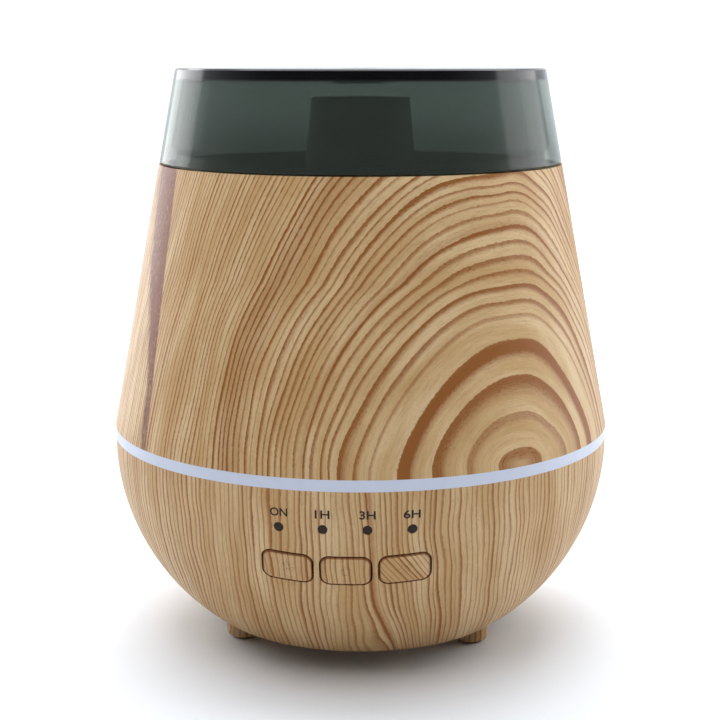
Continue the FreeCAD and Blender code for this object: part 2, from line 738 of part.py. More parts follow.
def panel_sag(x):
    """How far the bowl's surface lies behind the panel's plane at a distance to the side."""
    return f"(({bowl_radius(BUTTON_Z)} - sqrt({bowl_radius(BUTTON_Z)}^2 - ({x})^2)) * {PANEL_SIN})"


def indicator_spot(x):
    """Panel y of an indicator whose dot lies at the indicators' height on the bowl."""
    ahead = f"(sqrt({bowl_radius(INDICATOR_Z)}^2 - ({x})^2) - {bowl_radius(BUTTON_Z)})"
    return f"(-({ahead}) * {PANEL_COS} + (button_drop - indicator_drop) * {PANEL_SIN})"


INDICATOR_X = [f"({step} * indicator_pitch)" for step in (-1.5, -0.5, 0.5, 1.5)]


def bowl_layer(name, outset, inset):
    """A layer of the bowl between two offsets of its arc, from the underside to the light ring."""
    top, low = BOWL_Z, f"({BOWL_Z} - {BOWL_RISE} * 0.8)"
    return turned(name, [
        (bowl_radius(low, inset), low),
        (bowl_radius(low, outset), low, f"({BOWL_ARC} - ({outset}))"),
        (bowl_radius(top, outset), top),
        (bowl_radius(top, inset), top, f"-({BOWL_ARC} - ({inset}))"),
    ])


def make_buttons():
    """Three film-covered caps cut from the bowl's own form, each with its stem and switch plunger."""
    skin = bowl_layer("button_skin", "-button_proud", "shell_wall")
    plunger_top = f"({SWITCH_TOP} + plunger_height)"
    for label, side in BUTTONS.items():
        x = f"({side} * {BUTTON_PITCH})"
        prism = padded(f"{label}_prism", rounded_rectangle("button_width", "button_height", "button_corner"),
                       "prism_inner + prism_outer")
        on_panel(prism, x, "0", "-prism_inner")
        cap = common(f"{label}_cap", prism, skin)
        stem_top = f"(-{panel_sag(x)} - shell_wall + stem_sink)"
        stem = panel_rod(f"{label}_stem", "stem_radius", f"{stem_top} - {plunger_top}", x, "0", plunger_top)
        node(fuse(f"{label}_fused", cap, stem), label)
        plunger = panel_rod(f"{label}_plunger_rod", "plunger_radius", "plunger_height + overlap", x, "0",
                            f"{SWITCH_TOP} - overlap")
        node(plunger, label.replace("button", "plunger"))


def make_control_board():
    """Board behind the panel with three tact switches, four LEDs and the one-piece light pipe."""
    face = "(-board_depth)"
    plate = panel_box("control_plate", "control_width", "control_above + control_below", "board_wall", "0",
                      "(control_above - control_below) / 2", f"{face} - board_wall")
    holes, screws = [], []
    for i, side in enumerate((-1, 1)):
        x, y = f"({side} * {CONTROL_SCREW_X})", CONTROL_SCREW_Y
        holes.append(panel_rod(f"control_hole_{i}", "small_screw_radius + screw_gap", "board_wall", x, y,
                               f"{face} - board_wall"))
        head = panel_rod(f"control_screw_head_{i}", "small_head_radius", "small_head", x, y,
                         f"{face} - board_wall - small_head")
        shank = panel_rod(f"control_screw_shank_{i}", "small_screw_radius", "board_wall + control_screw_grip",
                          x, y,
                          f"{face} - board_wall")
        screws.append(fuse(f"control_screw_{i}", head, shank))
    node(cut("control_board_cut", plate, *holes), "control_board")
    node(group("control_screw_set", screws), "control_board_screws")
    switches = []
    for label, side in BUTTONS.items():
        x = f"({side} * {BUTTON_PITCH})"
        case = panel_box(f"{label}_switch_case", "switch_size", "switch_size", "switch_height", x, "0", face)
        bore = panel_rod(f"{label}_switch_bore", "plunger_radius + switch_gap", "switch_height", x, "0",
                         f"{face} + switch_floor")
        switches.append(cut(f"{label}_switch", case, bore))
    node(group("tact_switch_set", switches), "tact_switches")
    leds = [panel_box(f"indicator_led_{i}", "indicator_led_length", "indicator_led_width",
                      "indicator_led_height",
                      x, indicator_spot(x), face)
            for i, x in enumerate(INDICATOR_X)]
    node(group("indicator_led_set", leds), "indicator_leds")
    core = bowl_core("lens_core", "indicator_sink")
    pipe_bottom = f"({face} + indicator_led_height)"
    rods = [panel_rod(f"light_pipe_{i}", "indicator_radius", "panel_reach", x, indicator_spot(x), pipe_bottom)
            for i, x in enumerate(INDICATOR_X)]
    bar = panel_box("light_pipe_bar", "3 * indicator_pitch + pipe_bar_end", "pipe_bar_width",
                    "pipe_bar_height", "0",
                    indicator_spot("indicator_pitch"), f"{pipe_bottom} + pipe_bar_lift")
    node(common("light_pipe_trim", fuse("light_pipe_rods", *rods, bar), core), "indicator_light_pipe")


def bowl_core(name, inset):
    """Solid of the bowl's whole inside, up to an inset from its outer surface."""
    return turned(name, [
        ("0", "foot_height"),
        (bowl_radius("foot_height", inset), "foot_height", f"({BOWL_ARC} - ({inset}))"),
        (bowl_radius(BOWL_Z, inset), BOWL_Z),
        ("0", BOWL_Z),
    ])


# ---------------------------------------------------------------- lower shell
POCKET_FLOOR = f"({bowl_radius('(socket_z - pocket_radius)')} - pocket_depth)"


def make_lower_shell():
    """Bowl with the flange for the bottom cover, openings of the panel, socket pocket and board ribs."""
    seat = "(base_edge_radius - base_lip)"
    flange_top = f"({COVER_TOP} + shell_flange_height)"
    wall = turned("lower_shell_wall", [
        (seat, "foot_height"),
        ("base_edge_radius", "foot_height", BOWL_ARC),
        ("body_radius", BOWL_Z),
        ("body_radius", "ring_bottom"),
        ("body_radius - shell_wall", "ring_bottom"),
        ("body_radius - shell_wall", BOWL_Z, f"-({BOWL_ARC} - shell_wall)"),
        (bowl_radius(flange_top, "shell_wall"), flange_top),
        ("shell_flange_radius", flange_top),
        ("shell_flange_radius", COVER_TOP),
        (seat, COVER_TOP),
    ])
    core = bowl_core("shell_core", "shell_wall / 2")
    # pocket for the plug, at the rear
    cup = cylinder("pocket_cup", "pocket_radius + pocket_wall", "body_radius", "0",
                   f"{POCKET_FLOOR} - pocket_wall", "socket_z", -90, (1, 0, 0))
    shelf = box("socket_shelf", "socket_width + 2 * shelf_side", "socket_length - shelf_short", "shelf_wall",
                "0",
                f"{POCKET_FLOOR} - pocket_wall - socket_length / 2 + shelf_side",
                "socket_z - socket_width / 2 - shelf_wall")
    insets = [cup, shelf]
    # ribs under the light board
    for i in range(6):
        insets.append(spoke_box(f"board_rib_{i}", "body_radius - tank_floor_radius", "rib_width",
                                "rib_height",
                                f"{light_board_radius()} - light_width + rib_inset",
                                f"{LIGHT_Z} - rib_height",
                                FRONT + 30 + 60 * i))
    # posts that carry the control board
    for i, side in enumerate((-1, 1)):
        insets.append(panel_rod(f"control_post_{i}", "small_head_radius + control_post_rim", "panel_reach",
                                f"({side} * {CONTROL_SCREW_X})", CONTROL_SCREW_Y, "-board_depth"))
    inside = common("shell_insets", fuse("inset_solids", *insets), core)
    openings = [
        cylinder("pocket_bore", "pocket_radius", "body_radius", "0", POCKET_FLOOR, "socket_z", -90,
                 (1, 0, 0)),
        cylinder("socket_hole", "socket_barrel_radius + screw_gap", "2 * pocket_wall", "0",
                 f"{POCKET_FLOOR} - 1.5 * pocket_wall", "socket_z", -90, (1, 0, 0)),
    ]
    for i, side in enumerate((-1, 1)):
        openings.append(panel_rod(f"control_post_hole_{i}", "small_screw_radius + screw_gap",
                                  "control_screw_grip + overlap", f"({side} * {CONTROL_SCREW_X})",
                                  CONTROL_SCREW_Y,
                                  "-board_depth"))
    for label, side in BUTTONS.items():
        window = padded(f"{label}_window", rounded_rectangle("button_width + 2 * slide_gap",
                        "button_height + 2 * slide_gap", "button_corner + slide_gap"),
                        "window_inner + prism_outer")
        openings.append(on_panel(window, f"({side} * {BUTTON_PITCH})", "0", "-window_inner"))
    for i, x in enumerate(INDICATOR_X):
        openings.append(panel_rod(f"indicator_hole_{i}", "indicator_radius + push_gap", "panel_reach",
                                  x, indicator_spot(x), "shell_wall + overlap - board_depth"))
    node(cut("lower_shell_cut", fuse("lower_shell_solids", wall, inside), *openings), "lower_shell")


# ---------------------------------------------------------------- bottom cover
def make_bottom_cover():
    """Round plate with the feet, air grille, counterbored screw holes and standoffs."""
    plate = cylinder("cover_plate", "base_edge_radius - base_lip - push_gap", "shell_wall", z="foot_height")
    solids, holes, pads = [plate], [], {}
    for side, angle in FOOT_ANGLES.items():
        x, y = polar("foot_circle", angle)
        foot = turned(f"foot_{side}", [
            ("0", "0"), ("foot_radius - foot_round", "0", "foot_round"), ("foot_radius", "foot_round"),
            ("foot_radius", "foot_height - pad_proud + overlap"), ("0", "foot_height - pad_proud + overlap"),
        ])
        solids.append(place(foot, x, y, "pad_proud"))
        holes.append(cylinder(f"pad_seat_{side}", "pad_radius + screw_gap", "pad_height", x, y, "pad_proud"))
        pads[side] = cylinder(f"pad_{side}", "pad_radius", "pad_height + pad_proud", x, y, "0")
    screws = []
    for i, angle in enumerate(SCREW_ANGLES):
        x, y = polar("boss_circle", angle)
        holes.append(cylinder(f"base_hole_{i}", "screw_radius + screw_gap", "shell_wall", x, y,
                              "foot_height"))
        holes.append(cylinder(f"base_counterbore_{i}", "screw_head_radius + 2 * push_gap", "screw_head", x, y,
                              "foot_height"))
        screws.append(screw(f"base_screw_{i}", "screw_radius", "screw_head_radius", "screw_head",
                            "base_screw_length", x, y, "foot_height + screw_head", heads_up=False))
    centre = ("0", FAN_Y)
    for i in range(GRILLE_SLOTS):
        inner = "grille_inner + 4" if i % 2 else "grille_inner"
        holes.append(spoke_box(f"grille_slot_{i}", f"{GRILLE_OUTER} - ({inner})", "grille_slot", "shell_wall",
                               inner, "foot_height", 360 / GRILLE_SLOTS * i, centre))
    for i, (sx, sy) in enumerate(((-1, -1), (1, -1), (1, 1), (-1, 1))):
        x, y = f"{sx} * {FAN_PITCH} / 2", f"{FAN_Y} + {sy} * {FAN_PITCH} / 2"
        solids.append(cylinder(f"fan_post_{i}", "fan_post_radius", "fan_standoff", x, y, COVER_TOP))
        holes.append(cylinder(f"fan_post_hole_{i}", "small_screw_radius + screw_gap", "fan_standoff", x, y,
                              COVER_TOP))
    for i, side in enumerate((-1, 1)):
        x = f"{side} * {MAIN_SCREW_X}"
        solids.append(cylinder(f"board_post_{i}", "post_radius", "main_standoff", x, "main_y", COVER_TOP))
        holes.append(cylinder(f"board_post_hole_{i}", "small_screw_radius + screw_gap", "main_standoff", x,
                              "main_y", COVER_TOP))
    node(cut("bottom_cover_cut", fuse("bottom_cover_solids", *solids), *holes), "bottom_cover")
    for side, pad in pads.items():
        node(pad, f"foot_pad_{side}")
    node(group("base_screw_set", screws), "base_screws")


# ---------------------------------------------------------------- fan
def make_fan():
    """Square axial fan: frame with hub and struts, bush, stator, bladed rotor and its shaft."""
    x, y = "0", FAN_Y
    frame = padded("fan_block", rounded_rectangle("fan_size", "fan_size", "fan_corner"), "fan_depth")
    place(frame, x, y, FAN_BOTTOM)
    bore = cylinder("fan_bore", FAN_BORE, "fan_depth", x, y, FAN_BOTTOM)
    hub = cylinder("fan_hub_plate", "fan_hub_radius", "fan_web", x, y, FAN_BOTTOM)
    struts = [spoke_box(f"fan_strut_{i}", FAN_BORE, "fan_strut_width", "fan_web", "fan_strut_width",
                        FAN_BOTTOM,
                        120 * i + 30, (x, y))
              for i in range(3)]
    corners, screws = [], []
    for i, (sx, sy) in enumerate(((-1, -1), (1, -1), (1, 1), (-1, 1))):
        cx, cy = f"{sx} * {FAN_PITCH} / 2", f"{FAN_Y} + {sy} * {FAN_PITCH} / 2"
        corners.append(cylinder(f"fan_hole_{i}", "small_screw_radius + overlap", "fan_depth", cx, cy,
                                FAN_BOTTOM))
        screws.append(screw(f"fan_screw_{i}", "small_screw_radius", "small_head_radius", "small_head",
                            "duct_wall + fan_depth + fan_standoff - shaft_lift", cx, cy,
                            f"{FAN_TOP} + duct_wall"))
    ring = cut("fan_ring", frame, bore, *corners)
    node(fuse("fan_frame_fused", ring, hub, *struts), "fan_frame")
    node(group("fan_screw_set", screws), "fan_screws")
    node(tube("fan_gasket_ring", f"{FAN_BORE} - 1", GRILLE_OUTER, "fan_standoff", x, y, COVER_TOP),
         "fan_gasket")
    plate_top = f"({FAN_BOTTOM} + fan_web)"
    node(tube("fan_bush_tube", "bush_radius", "shaft_radius + shaft_gap", "fan_depth - bush_gap", x, y,
              plate_top),
         "fan_bush")
    core = tube("stator_core", "stator_radius", "stator_bore", "stator_height", x, y,
                f"{plate_top} + stator_lift")
    teeth = [spoke_box(f"stator_tooth_{i}", "tooth_length", "tooth_size", "tooth_size", "tooth_inner",
                       f"{plate_top} + stator_lift + (stator_height - tooth_size) / 2", 90 * i, (x, y))
             for i in range(4)]
    node(fuse("stator_fused", core, *teeth), "fan_stator")
    cup_bottom, cup_top = f"({plate_top} + rotor_gap)", f"({FAN_TOP} - rotor_drop)"
    cup = cylinder("rotor_cup", "fan_hub_radius", f"{cup_top} - {cup_bottom}", x, y, cup_bottom)
    hollow = cylinder("rotor_hollow", "fan_hub_radius - fan_web", f"{cup_top} - {cup_bottom} - fan_web", x, y,
                      cup_bottom)
    blades = []
    for i in range(FAN_BLADES):
        angle = 360 / FAN_BLADES * i
        blade = doc.addObject("Part::Box", f"fan_blade_{i}")
        bind(blade,
             {"Length": f"{FAN_BORE} - blade_gap - fan_hub_radius + 2 * over_cut", "Width": "blade_chord",
                     "Height": "blade_thickness"})
        lean = FreeCAD.Rotation(FreeCAD.Vector(0, 0, 1), angle) * FreeCAD.Rotation(FreeCAD.Vector(1, 0, 0),
                                                                                   BLADE_LEAN)
        bx, by = polar("fan_hub_radius - over_cut", angle, (x, y))
        foot = lean.multVec(FreeCAD.Vector(0, value("blade_chord") / 2, value("blade_thickness") / 2))
        blade.Placement = FreeCAD.Placement(FreeCAD.Vector(), lean)
        bind(blade,
             {"Placement.Base.x": f"{bx} - ({foot.x:.6f})", "Placement.Base.y": f"{by} - ({foot.y:.6f})",
                     "Placement.Base.z": f"({cup_bottom} + {cup_top}) / 2 - ({foot.z:.6f})"})
        blades.append(blade)
    sweep = tube("blade_sweep", f"{FAN_BORE} - blade_gap", "fan_hub_radius - fan_web / 2", "fan_depth", x, y,
                 FAN_BOTTOM)
    vanes = common("fan_vanes", fuse("fan_blade_set", *blades), sweep)
    node(fuse("rotor_fused", cut("rotor_shell", cup, hollow), vanes), "fan_rotor")
    node(cylinder("shaft_rod", "shaft_radius", f"{cup_top} - fan_web - {plate_top} - shaft_lift", x, y,
                  f"{plate_top} + shaft_lift"), "fan_shaft")


def make_fan_duct():
    """Hood over the fan with a side channel that leads its air to the tank's riser."""
    z = FAN_TOP
    hood = box("duct_hood", "fan_size", "fan_size", "duct_height", "0", FAN_Y, z)
    side_bottom = f"({z} - duct_side_drop)"
    outer_x = "(riser_x - riser_width / 2)"
    channel_length = f"(-(fan_size / 2) - duct_clear - {outer_x})"
    channel_x = f"({outer_x} + {channel_length} / 2)"
    channel = box("duct_channel", channel_length, "riser_length", f"{DUCT_TOP} - {side_bottom}",
                  channel_x, "0", side_bottom)
    bridge = box("duct_bridge", "duct_bridge_length", "riser_length", "duct_height", "-(fan_size / 2)", "0",
                 z)
    riser = box("duct_riser", "riser_width", "riser_length", f"{FLOOR_UNDER} - {side_bottom}",
                "riser_x", "0", side_bottom)
    solids = [hood, channel, bridge, riser]
    holes = [
        cylinder("duct_hood_hollow", FAN_BORE, f"duct_height - duct_wall", "0", FAN_Y, z),
        box("duct_channel_hollow", f"{channel_length} - 2 * duct_wall", "riser_length - 2 * duct_wall",
            f"{DUCT_TOP} - {side_bottom} - 2 * duct_wall", channel_x, "0", f"{side_bottom} + duct_wall"),
        box("duct_bridge_hollow", "duct_bridge_reach", "riser_length - 2 * duct_wall",
            "duct_height - duct_wall - duct_clear", "-(fan_size / 2) - over_cut", "0", f"{z} + duct_clear"),
        box("duct_riser_hollow", "riser_width - 2 * duct_wall", "riser_length - 2 * duct_wall",
            f"{FLOOR_UNDER} - {side_bottom}", "riser_x", "0", f"{side_bottom} + duct_wall"),
    ]
    for i, (sx, sy) in enumerate(((-1, -1), (1, -1), (1, 1), (-1, 1))):
        cx, cy = f"{sx} * {FAN_PITCH} / 2", f"{FAN_Y} + {sy} * {FAN_PITCH} / 2"
        holes.append(cylinder(f"duct_screw_hole_{i}", "small_screw_radius + screw_gap", "duct_height", cx, cy,
                              z))
        holes.append(cylinder(f"duct_screw_well_{i}", "small_head_radius + 2 * push_gap", "duct_height", cx,
                              cy,
                              f"{z} + duct_wall"))
    node(cut("fan_duct_cut", fuse("fan_duct_solids", *solids), *holes), "fan_duct")


# ---------------------------------------------------------------- main board
CONNECTORS = {
    "transducer": ("-9.5", "main_y + main_width / 2 - 3.8"),
    "power": ("main_length / 2 - 3.5", "main_y + main_width / 2 - 3.8"),
    "light": ("main_length / 2 - 11", "main_y + main_width / 2 - 3.8"),
    "fan": ("main_length / 2 - 3.5", "main_y - main_width / 2 + 3.8"),
    "control": ("6 - main_length / 2", "main_y - main_width / 2 + 3"),
}


def make_main_board():
    """Driver board over the bottom cover, with its larger components as separate pieces."""
    plate = box("main_plate", "main_length", "main_width", "main_wall", "0", "main_y", MAIN_Z)
    holes, screws = [], []
    for i, side in enumerate((-1, 1)):
        x = f"{side} * {MAIN_SCREW_X}"
        holes.append(cylinder(f"main_hole_{i}", "small_screw_radius + screw_gap", "main_wall", x, "main_y",
                              MAIN_Z))
        screws.append(screw(f"main_screw_{i}", "small_screw_radius", "small_head_radius", "small_head",
                            "main_wall + main_screw_grip", x, "main_y", MAIN_TOP))
    node(cut("main_board_cut", plate, *holes), "main_board")
    node(group("main_screw_set", screws), "main_board_screws")
    # each component's place on the board: x, and y from the board's middle
    node(tube("coil_ring", "coil_radius", "coil_bore", "coil_height", "-12", "main_y - 3", MAIN_TOP),
         "driver_coil")
    node(cylinder("capacitor_can", "capacitor_radius", "capacitor_height", "0", "main_y - 5", MAIN_TOP),
         "power_capacitor")
    node(box("chip_case", "chip_length", "chip_width", "chip_height", "-1", "main_y + 5", MAIN_TOP),
         "driver_chip")
    sink_x, sink_y = "14", "(main_y - 4.8)"
    fins = [box(f"sink_fin_{i}", "sink_length", "sink_fin", "sink_height", sink_x,
                f"{sink_y} + {i - 1.5} * sink_pitch", f"{MAIN_TOP} + sink_fin") for i in range(4)]
    sink = box("sink_base", "sink_length", "3 * sink_pitch + sink_fin", "sink_fin", sink_x, sink_y, MAIN_TOP)
    node(fuse("heat_sink_fused", sink, *fins), "heat_sink")
    transistor_y = f"{sink_y} + 1.5 * sink_pitch + (sink_fin + transistor_width) / 2"
    node(box("transistor_case", "transistor_length", "transistor_width", "sink_height", sink_x,
             transistor_y, MAIN_TOP), "power_transistor")
    plugs = [box(f"{name}_connector", "connector_length", "connector_width", "connector_height", x, y,
                 MAIN_TOP)
             for name, (x, y) in CONNECTORS.items()]
    node(group("connector_set", plugs), "board_connectors")


# ---------------------------------------------------------------- power socket
def make_power_socket():
    """Round low-voltage jack behind the pocket, with its centre contact."""
    barrel_y, back = POCKET_FLOOR, f"({POCKET_FLOOR} - pocket_wall)"
    case = box("socket_case", "socket_width", "socket_length", "socket_width", "0",
               f"{back} - socket_length / 2", "socket_z - socket_width / 2")
    barrel = cylinder("socket_barrel", "socket_barrel_radius", "pocket_wall", "0", back, "socket_z", -90,
                      (1, 0, 0))
    bore_length = "(socket_length - socket_back + pocket_wall)"
    bore = cylinder("socket_bore", "socket_bore_radius", bore_length, "0", f"{barrel_y} - {bore_length}",
                    "socket_z", -90, (1, 0, 0))
    node(cut("socket_cut", fuse("socket_fused", case, barrel), bore), "power_socket")
    node(cylinder("socket_pin_rod", "socket_pin_radius", f"{bore_length} - pin_short", "0",
                  f"{barrel_y} - {bore_length}", "socket_z", -90, (1, 0, 0)), "socket_pin")


# ---------------------------------------------------------------- leads
LIGHT_LEAD_ANGLE = FRONT + 40    # where the light board's lead is soldered on


def make_lead(name, route):
    """A round lead along straight runs joined by tangent arcs, from a list of (x, y, z) expressions.

    Each arc takes 0.45 of the shorter run beside its corner.
    """
    points = [FreeCAD.Vector(*(value(text) for text in point)) for point in route]
    radius = value("lead_diameter") / 2
    edges, radii, start = [], [], points[0]
    for before, corner, after in zip(points, points[1:], points[2:]):
        reach = 0.45 * min((corner - before).Length, (after - corner).Length)
        inward, outward = (corner - before).normalize(), (after - corner).normalize()
        first, last = corner - inward * reach, corner + outward * reach
        half_turn = inward.getAngle(outward) / 2
        bend = reach / math.tan(half_turn)
        inside = (outward - inward).normalize()
        middle = corner + inside * (bend / math.cos(half_turn) - bend)
        edges += [Part.LineSegment(start, first).toShape(), Part.Arc(first, middle, last).toShape()]
        radii.append(bend)
        start = last
    edges.append(Part.LineSegment(start, points[-1]).toShape())
    path = Part.Wire(edges)
    rim = Part.Wire(Part.Circle(points[0], points[1] - points[0], radius).toShape())
    made = doc.addObject("Part::Feature", f"{name}_tube")
    made.Shape = path.makePipeShell([rim], True, False)
    made.Placement = FreeCAD.Placement()
    plain = math.pi * radius ** 2 * path.Length
    print(f"{name}: length {path.Length:.1f}, bend radii {', '.join(f'{r:.1f}' for r in radii)}, "
          f"volume {made.Shape.Volume / plain:.3f} of section times length")
    node(made, name)


def make_leads():
    """The five leads, each from its connector on the main board to the piece that it serves."""
    entry = f"({MAIN_TOP} + connector_height / 2)"
    plug_top = f"({MAIN_TOP} + connector_height)"
    under_retainer = f"({DUCT_TOP} + lead_diameter / 2 + 0.5)"
    jack_side = f"({POCKET_FLOOR} - pocket_wall - socket_length / 2)"
    x, y = CONNECTORS["transducer"]
    make_lead("transducer_lead", [
        (x, y, plug_top),
        (x, y, under_retainer),
        ("-3.8", "-5.4", f"{under_retainer} + 0.2"),
        ("1.9", "2.6", f"{SEAL_Z} + 0.6"),
    ])
    x, y = CONNECTORS["power"]
    make_lead("power_lead", [
        ("socket_width / 2", jack_side, "socket_z"),
        ("14", jack_side, "socket_z"),
        ("23.9", f"{jack_side} - 9.5", "socket_z"),
        ("23.9", FAN_Y, "socket_z + 0.5"),
        ("35", "-6", "socket_z"),
        ("35", y, entry),
        (f"{x} + connector_length / 2", y, entry),
    ])
    x, y = CONNECTORS["fan"]
    make_lead("fan_lead", [
        (f"{x} + connector_length / 2", y, entry),
        ("35.5", f"{y} + 1", f"{entry} - 1.1"),
        ("31.5", "-14", f"{FAN_BOTTOM} + 1"),
        ("27.5", "-2.5", f"{FAN_BOTTOM} + 1.8"),
        ("fan_size / 2", "-1", f"{FAN_BOTTOM} + 2.3"),
    ])
    x, y = CONNECTORS["light"]
    light_x, light_y = polar(f"({light_board_radius()} - light_width / 2)", LIGHT_LEAD_ANGLE)
    make_lead("light_lead", [
        (light_x, light_y, LIGHT_Z),
        (f"{light_x} - 2.5", f"{light_y} + 4", f"{LIGHT_Z} - 11"),
        ("31", "-34", f"{MAIN_TOP} + 13.4"),
        (f"{x} + 1.5", f"{y} - 3.8", f"{plug_top} + 8.7"),
        (x, y, plug_top),
    ])
    x, y = CONNECTORS["control"]
    board_back = f"(board_depth + board_wall / 2) * {PANEL_SIN}"
    edge_y = f"(-{bowl_radius(BUTTON_Z)} - control_below * {PANEL_COS} + {board_back})"
    edge_z = f"({BUTTON_Z} - control_below * {PANEL_SIN} - (board_depth + board_wall / 2) * {PANEL_COS})"
    make_lead("control_lead", [
        ("-12", edge_y, edge_z),
        ("-12.5", f"{edge_y} + 3.4", f"{edge_z} - 9.6"),
        (f"{x} + 1.5", f"{y} - 12.5", entry),
        (x, f"{y} - connector_width / 2", entry),
    ])


make_upper_shell()
make_smoked_crown()
make_inner_cover()
make_water_tank()
make_air_riser()
make_tank_gasket()
make_transducer()
make_light_ring()
make_light_board()
make_buttons()
make_control_board()
make_lower_shell()
make_bottom_cover()
make_fan()
make_fan_duct()
make_main_board()
make_power_socket()
make_leads()

# ---------------------------------------------------------------- checks and export
doc.recompute()
for item in doc.Objects:
    if "Invalid" in item.State or "Error" in item.State:
        raise RuntimeError(f"{item.Name} failed: {item.State}")
os.makedirs("parts", exist_ok=True)
for piece in NODES:
    shape = piece.Shape
    if shape.isNull() or not shape.isValid() or not shape.Solids:
        raise RuntimeError(f"{piece.Label} has no valid solid")
    print(f"{piece.Label:24s} solids {len(shape.Solids):2d}  volume {shape.Volume:10.1f} mm3")
for piece in NODES:
    piece.Shape.exportStep(f"parts/{piece.Label}.step")
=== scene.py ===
import json
import math

import bpy
import numpy as np
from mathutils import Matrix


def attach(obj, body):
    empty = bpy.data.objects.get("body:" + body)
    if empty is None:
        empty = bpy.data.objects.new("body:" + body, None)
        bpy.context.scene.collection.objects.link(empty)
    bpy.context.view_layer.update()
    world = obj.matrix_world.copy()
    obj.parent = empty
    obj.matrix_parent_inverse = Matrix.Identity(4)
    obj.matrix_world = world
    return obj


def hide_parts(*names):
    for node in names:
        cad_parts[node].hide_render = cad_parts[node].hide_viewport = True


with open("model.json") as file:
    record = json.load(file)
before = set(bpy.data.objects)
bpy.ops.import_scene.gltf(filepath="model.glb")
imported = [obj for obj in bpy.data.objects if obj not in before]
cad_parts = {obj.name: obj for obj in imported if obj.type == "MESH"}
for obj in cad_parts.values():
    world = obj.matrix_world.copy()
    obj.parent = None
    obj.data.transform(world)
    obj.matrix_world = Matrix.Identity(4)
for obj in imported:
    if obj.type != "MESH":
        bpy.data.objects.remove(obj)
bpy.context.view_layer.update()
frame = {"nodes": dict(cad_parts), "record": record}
nodes = frame["nodes"]
scene = bpy.context.scene


# ---------------------------------------------------------------- studio
# A table-top product set: a white sweep, a wide softbox at each side, one overhead and a weak one in
# front. The camera looks slightly down on the control panel from a little over 400 mm away.
MM = 0.001


def heading(azimuth, distance, height):
    """A point round the object: azimuth 0 is in front of the panel and grows to its right."""
    turn = math.radians(azimuth)
    return (distance * math.sin(turn) * MM, -distance * math.cos(turn) * MM, height * MM)


VIEW_AZIMUTH, VIEW_DOWN, VIEW_DISTANCE, VIEW_HEIGHT = 3.2, 11.2, 427, 161.2
AIM_BELOW = 70  # the lamps point this far below their own height
camera = bpy.data.objects.new("camera", bpy.data.cameras.new("camera"))
camera.data.lens = 75.75
camera.data.sensor_width = 36.0
camera.data.shift_x = -0.0008
camera.data.clip_start, camera.data.clip_end = 0.01, 50.0
camera.location = heading(VIEW_AZIMUTH, VIEW_DISTANCE, VIEW_HEIGHT)
camera.rotation_euler = (math.radians(90 - VIEW_DOWN), 0, math.radians(VIEW_AZIMUTH))
scene.collection.objects.link(camera)
scene.camera = camera
scene.view_settings.view_transform = "Standard"
scene.view_settings.look = "None"

LAMPS = {  # azimuth, distance, height, width, length, watts
    "left_softbox": (-126, 620, 200, 460, 620, 2.7),
    "right_softbox": (112, 620, 200, 460, 620, 1.9),
    "top_softbox": (180, 260, 760, 800, 800, 5.0),
    "front_softbox": (-12, 420, 820, 500, 500, 1.6),
}
for name, (azimuth, distance, height, width, length, watts) in LAMPS.items():
    lamp = bpy.data.lights.new(name, "AREA")
    lamp.shape = "RECTANGLE"
    lamp.size, lamp.size_y, lamp.energy = width * MM, length * MM, watts
    holder = bpy.data.objects.new(name, lamp)
    holder.location = heading(azimuth, distance, height)
    aim = holder.location.copy()
    aim.z -= AIM_BELOW * MM
    holder.rotation_euler = aim.to_track_quat("Z", "Y").to_euler()
    scene.collection.objects.link(holder)


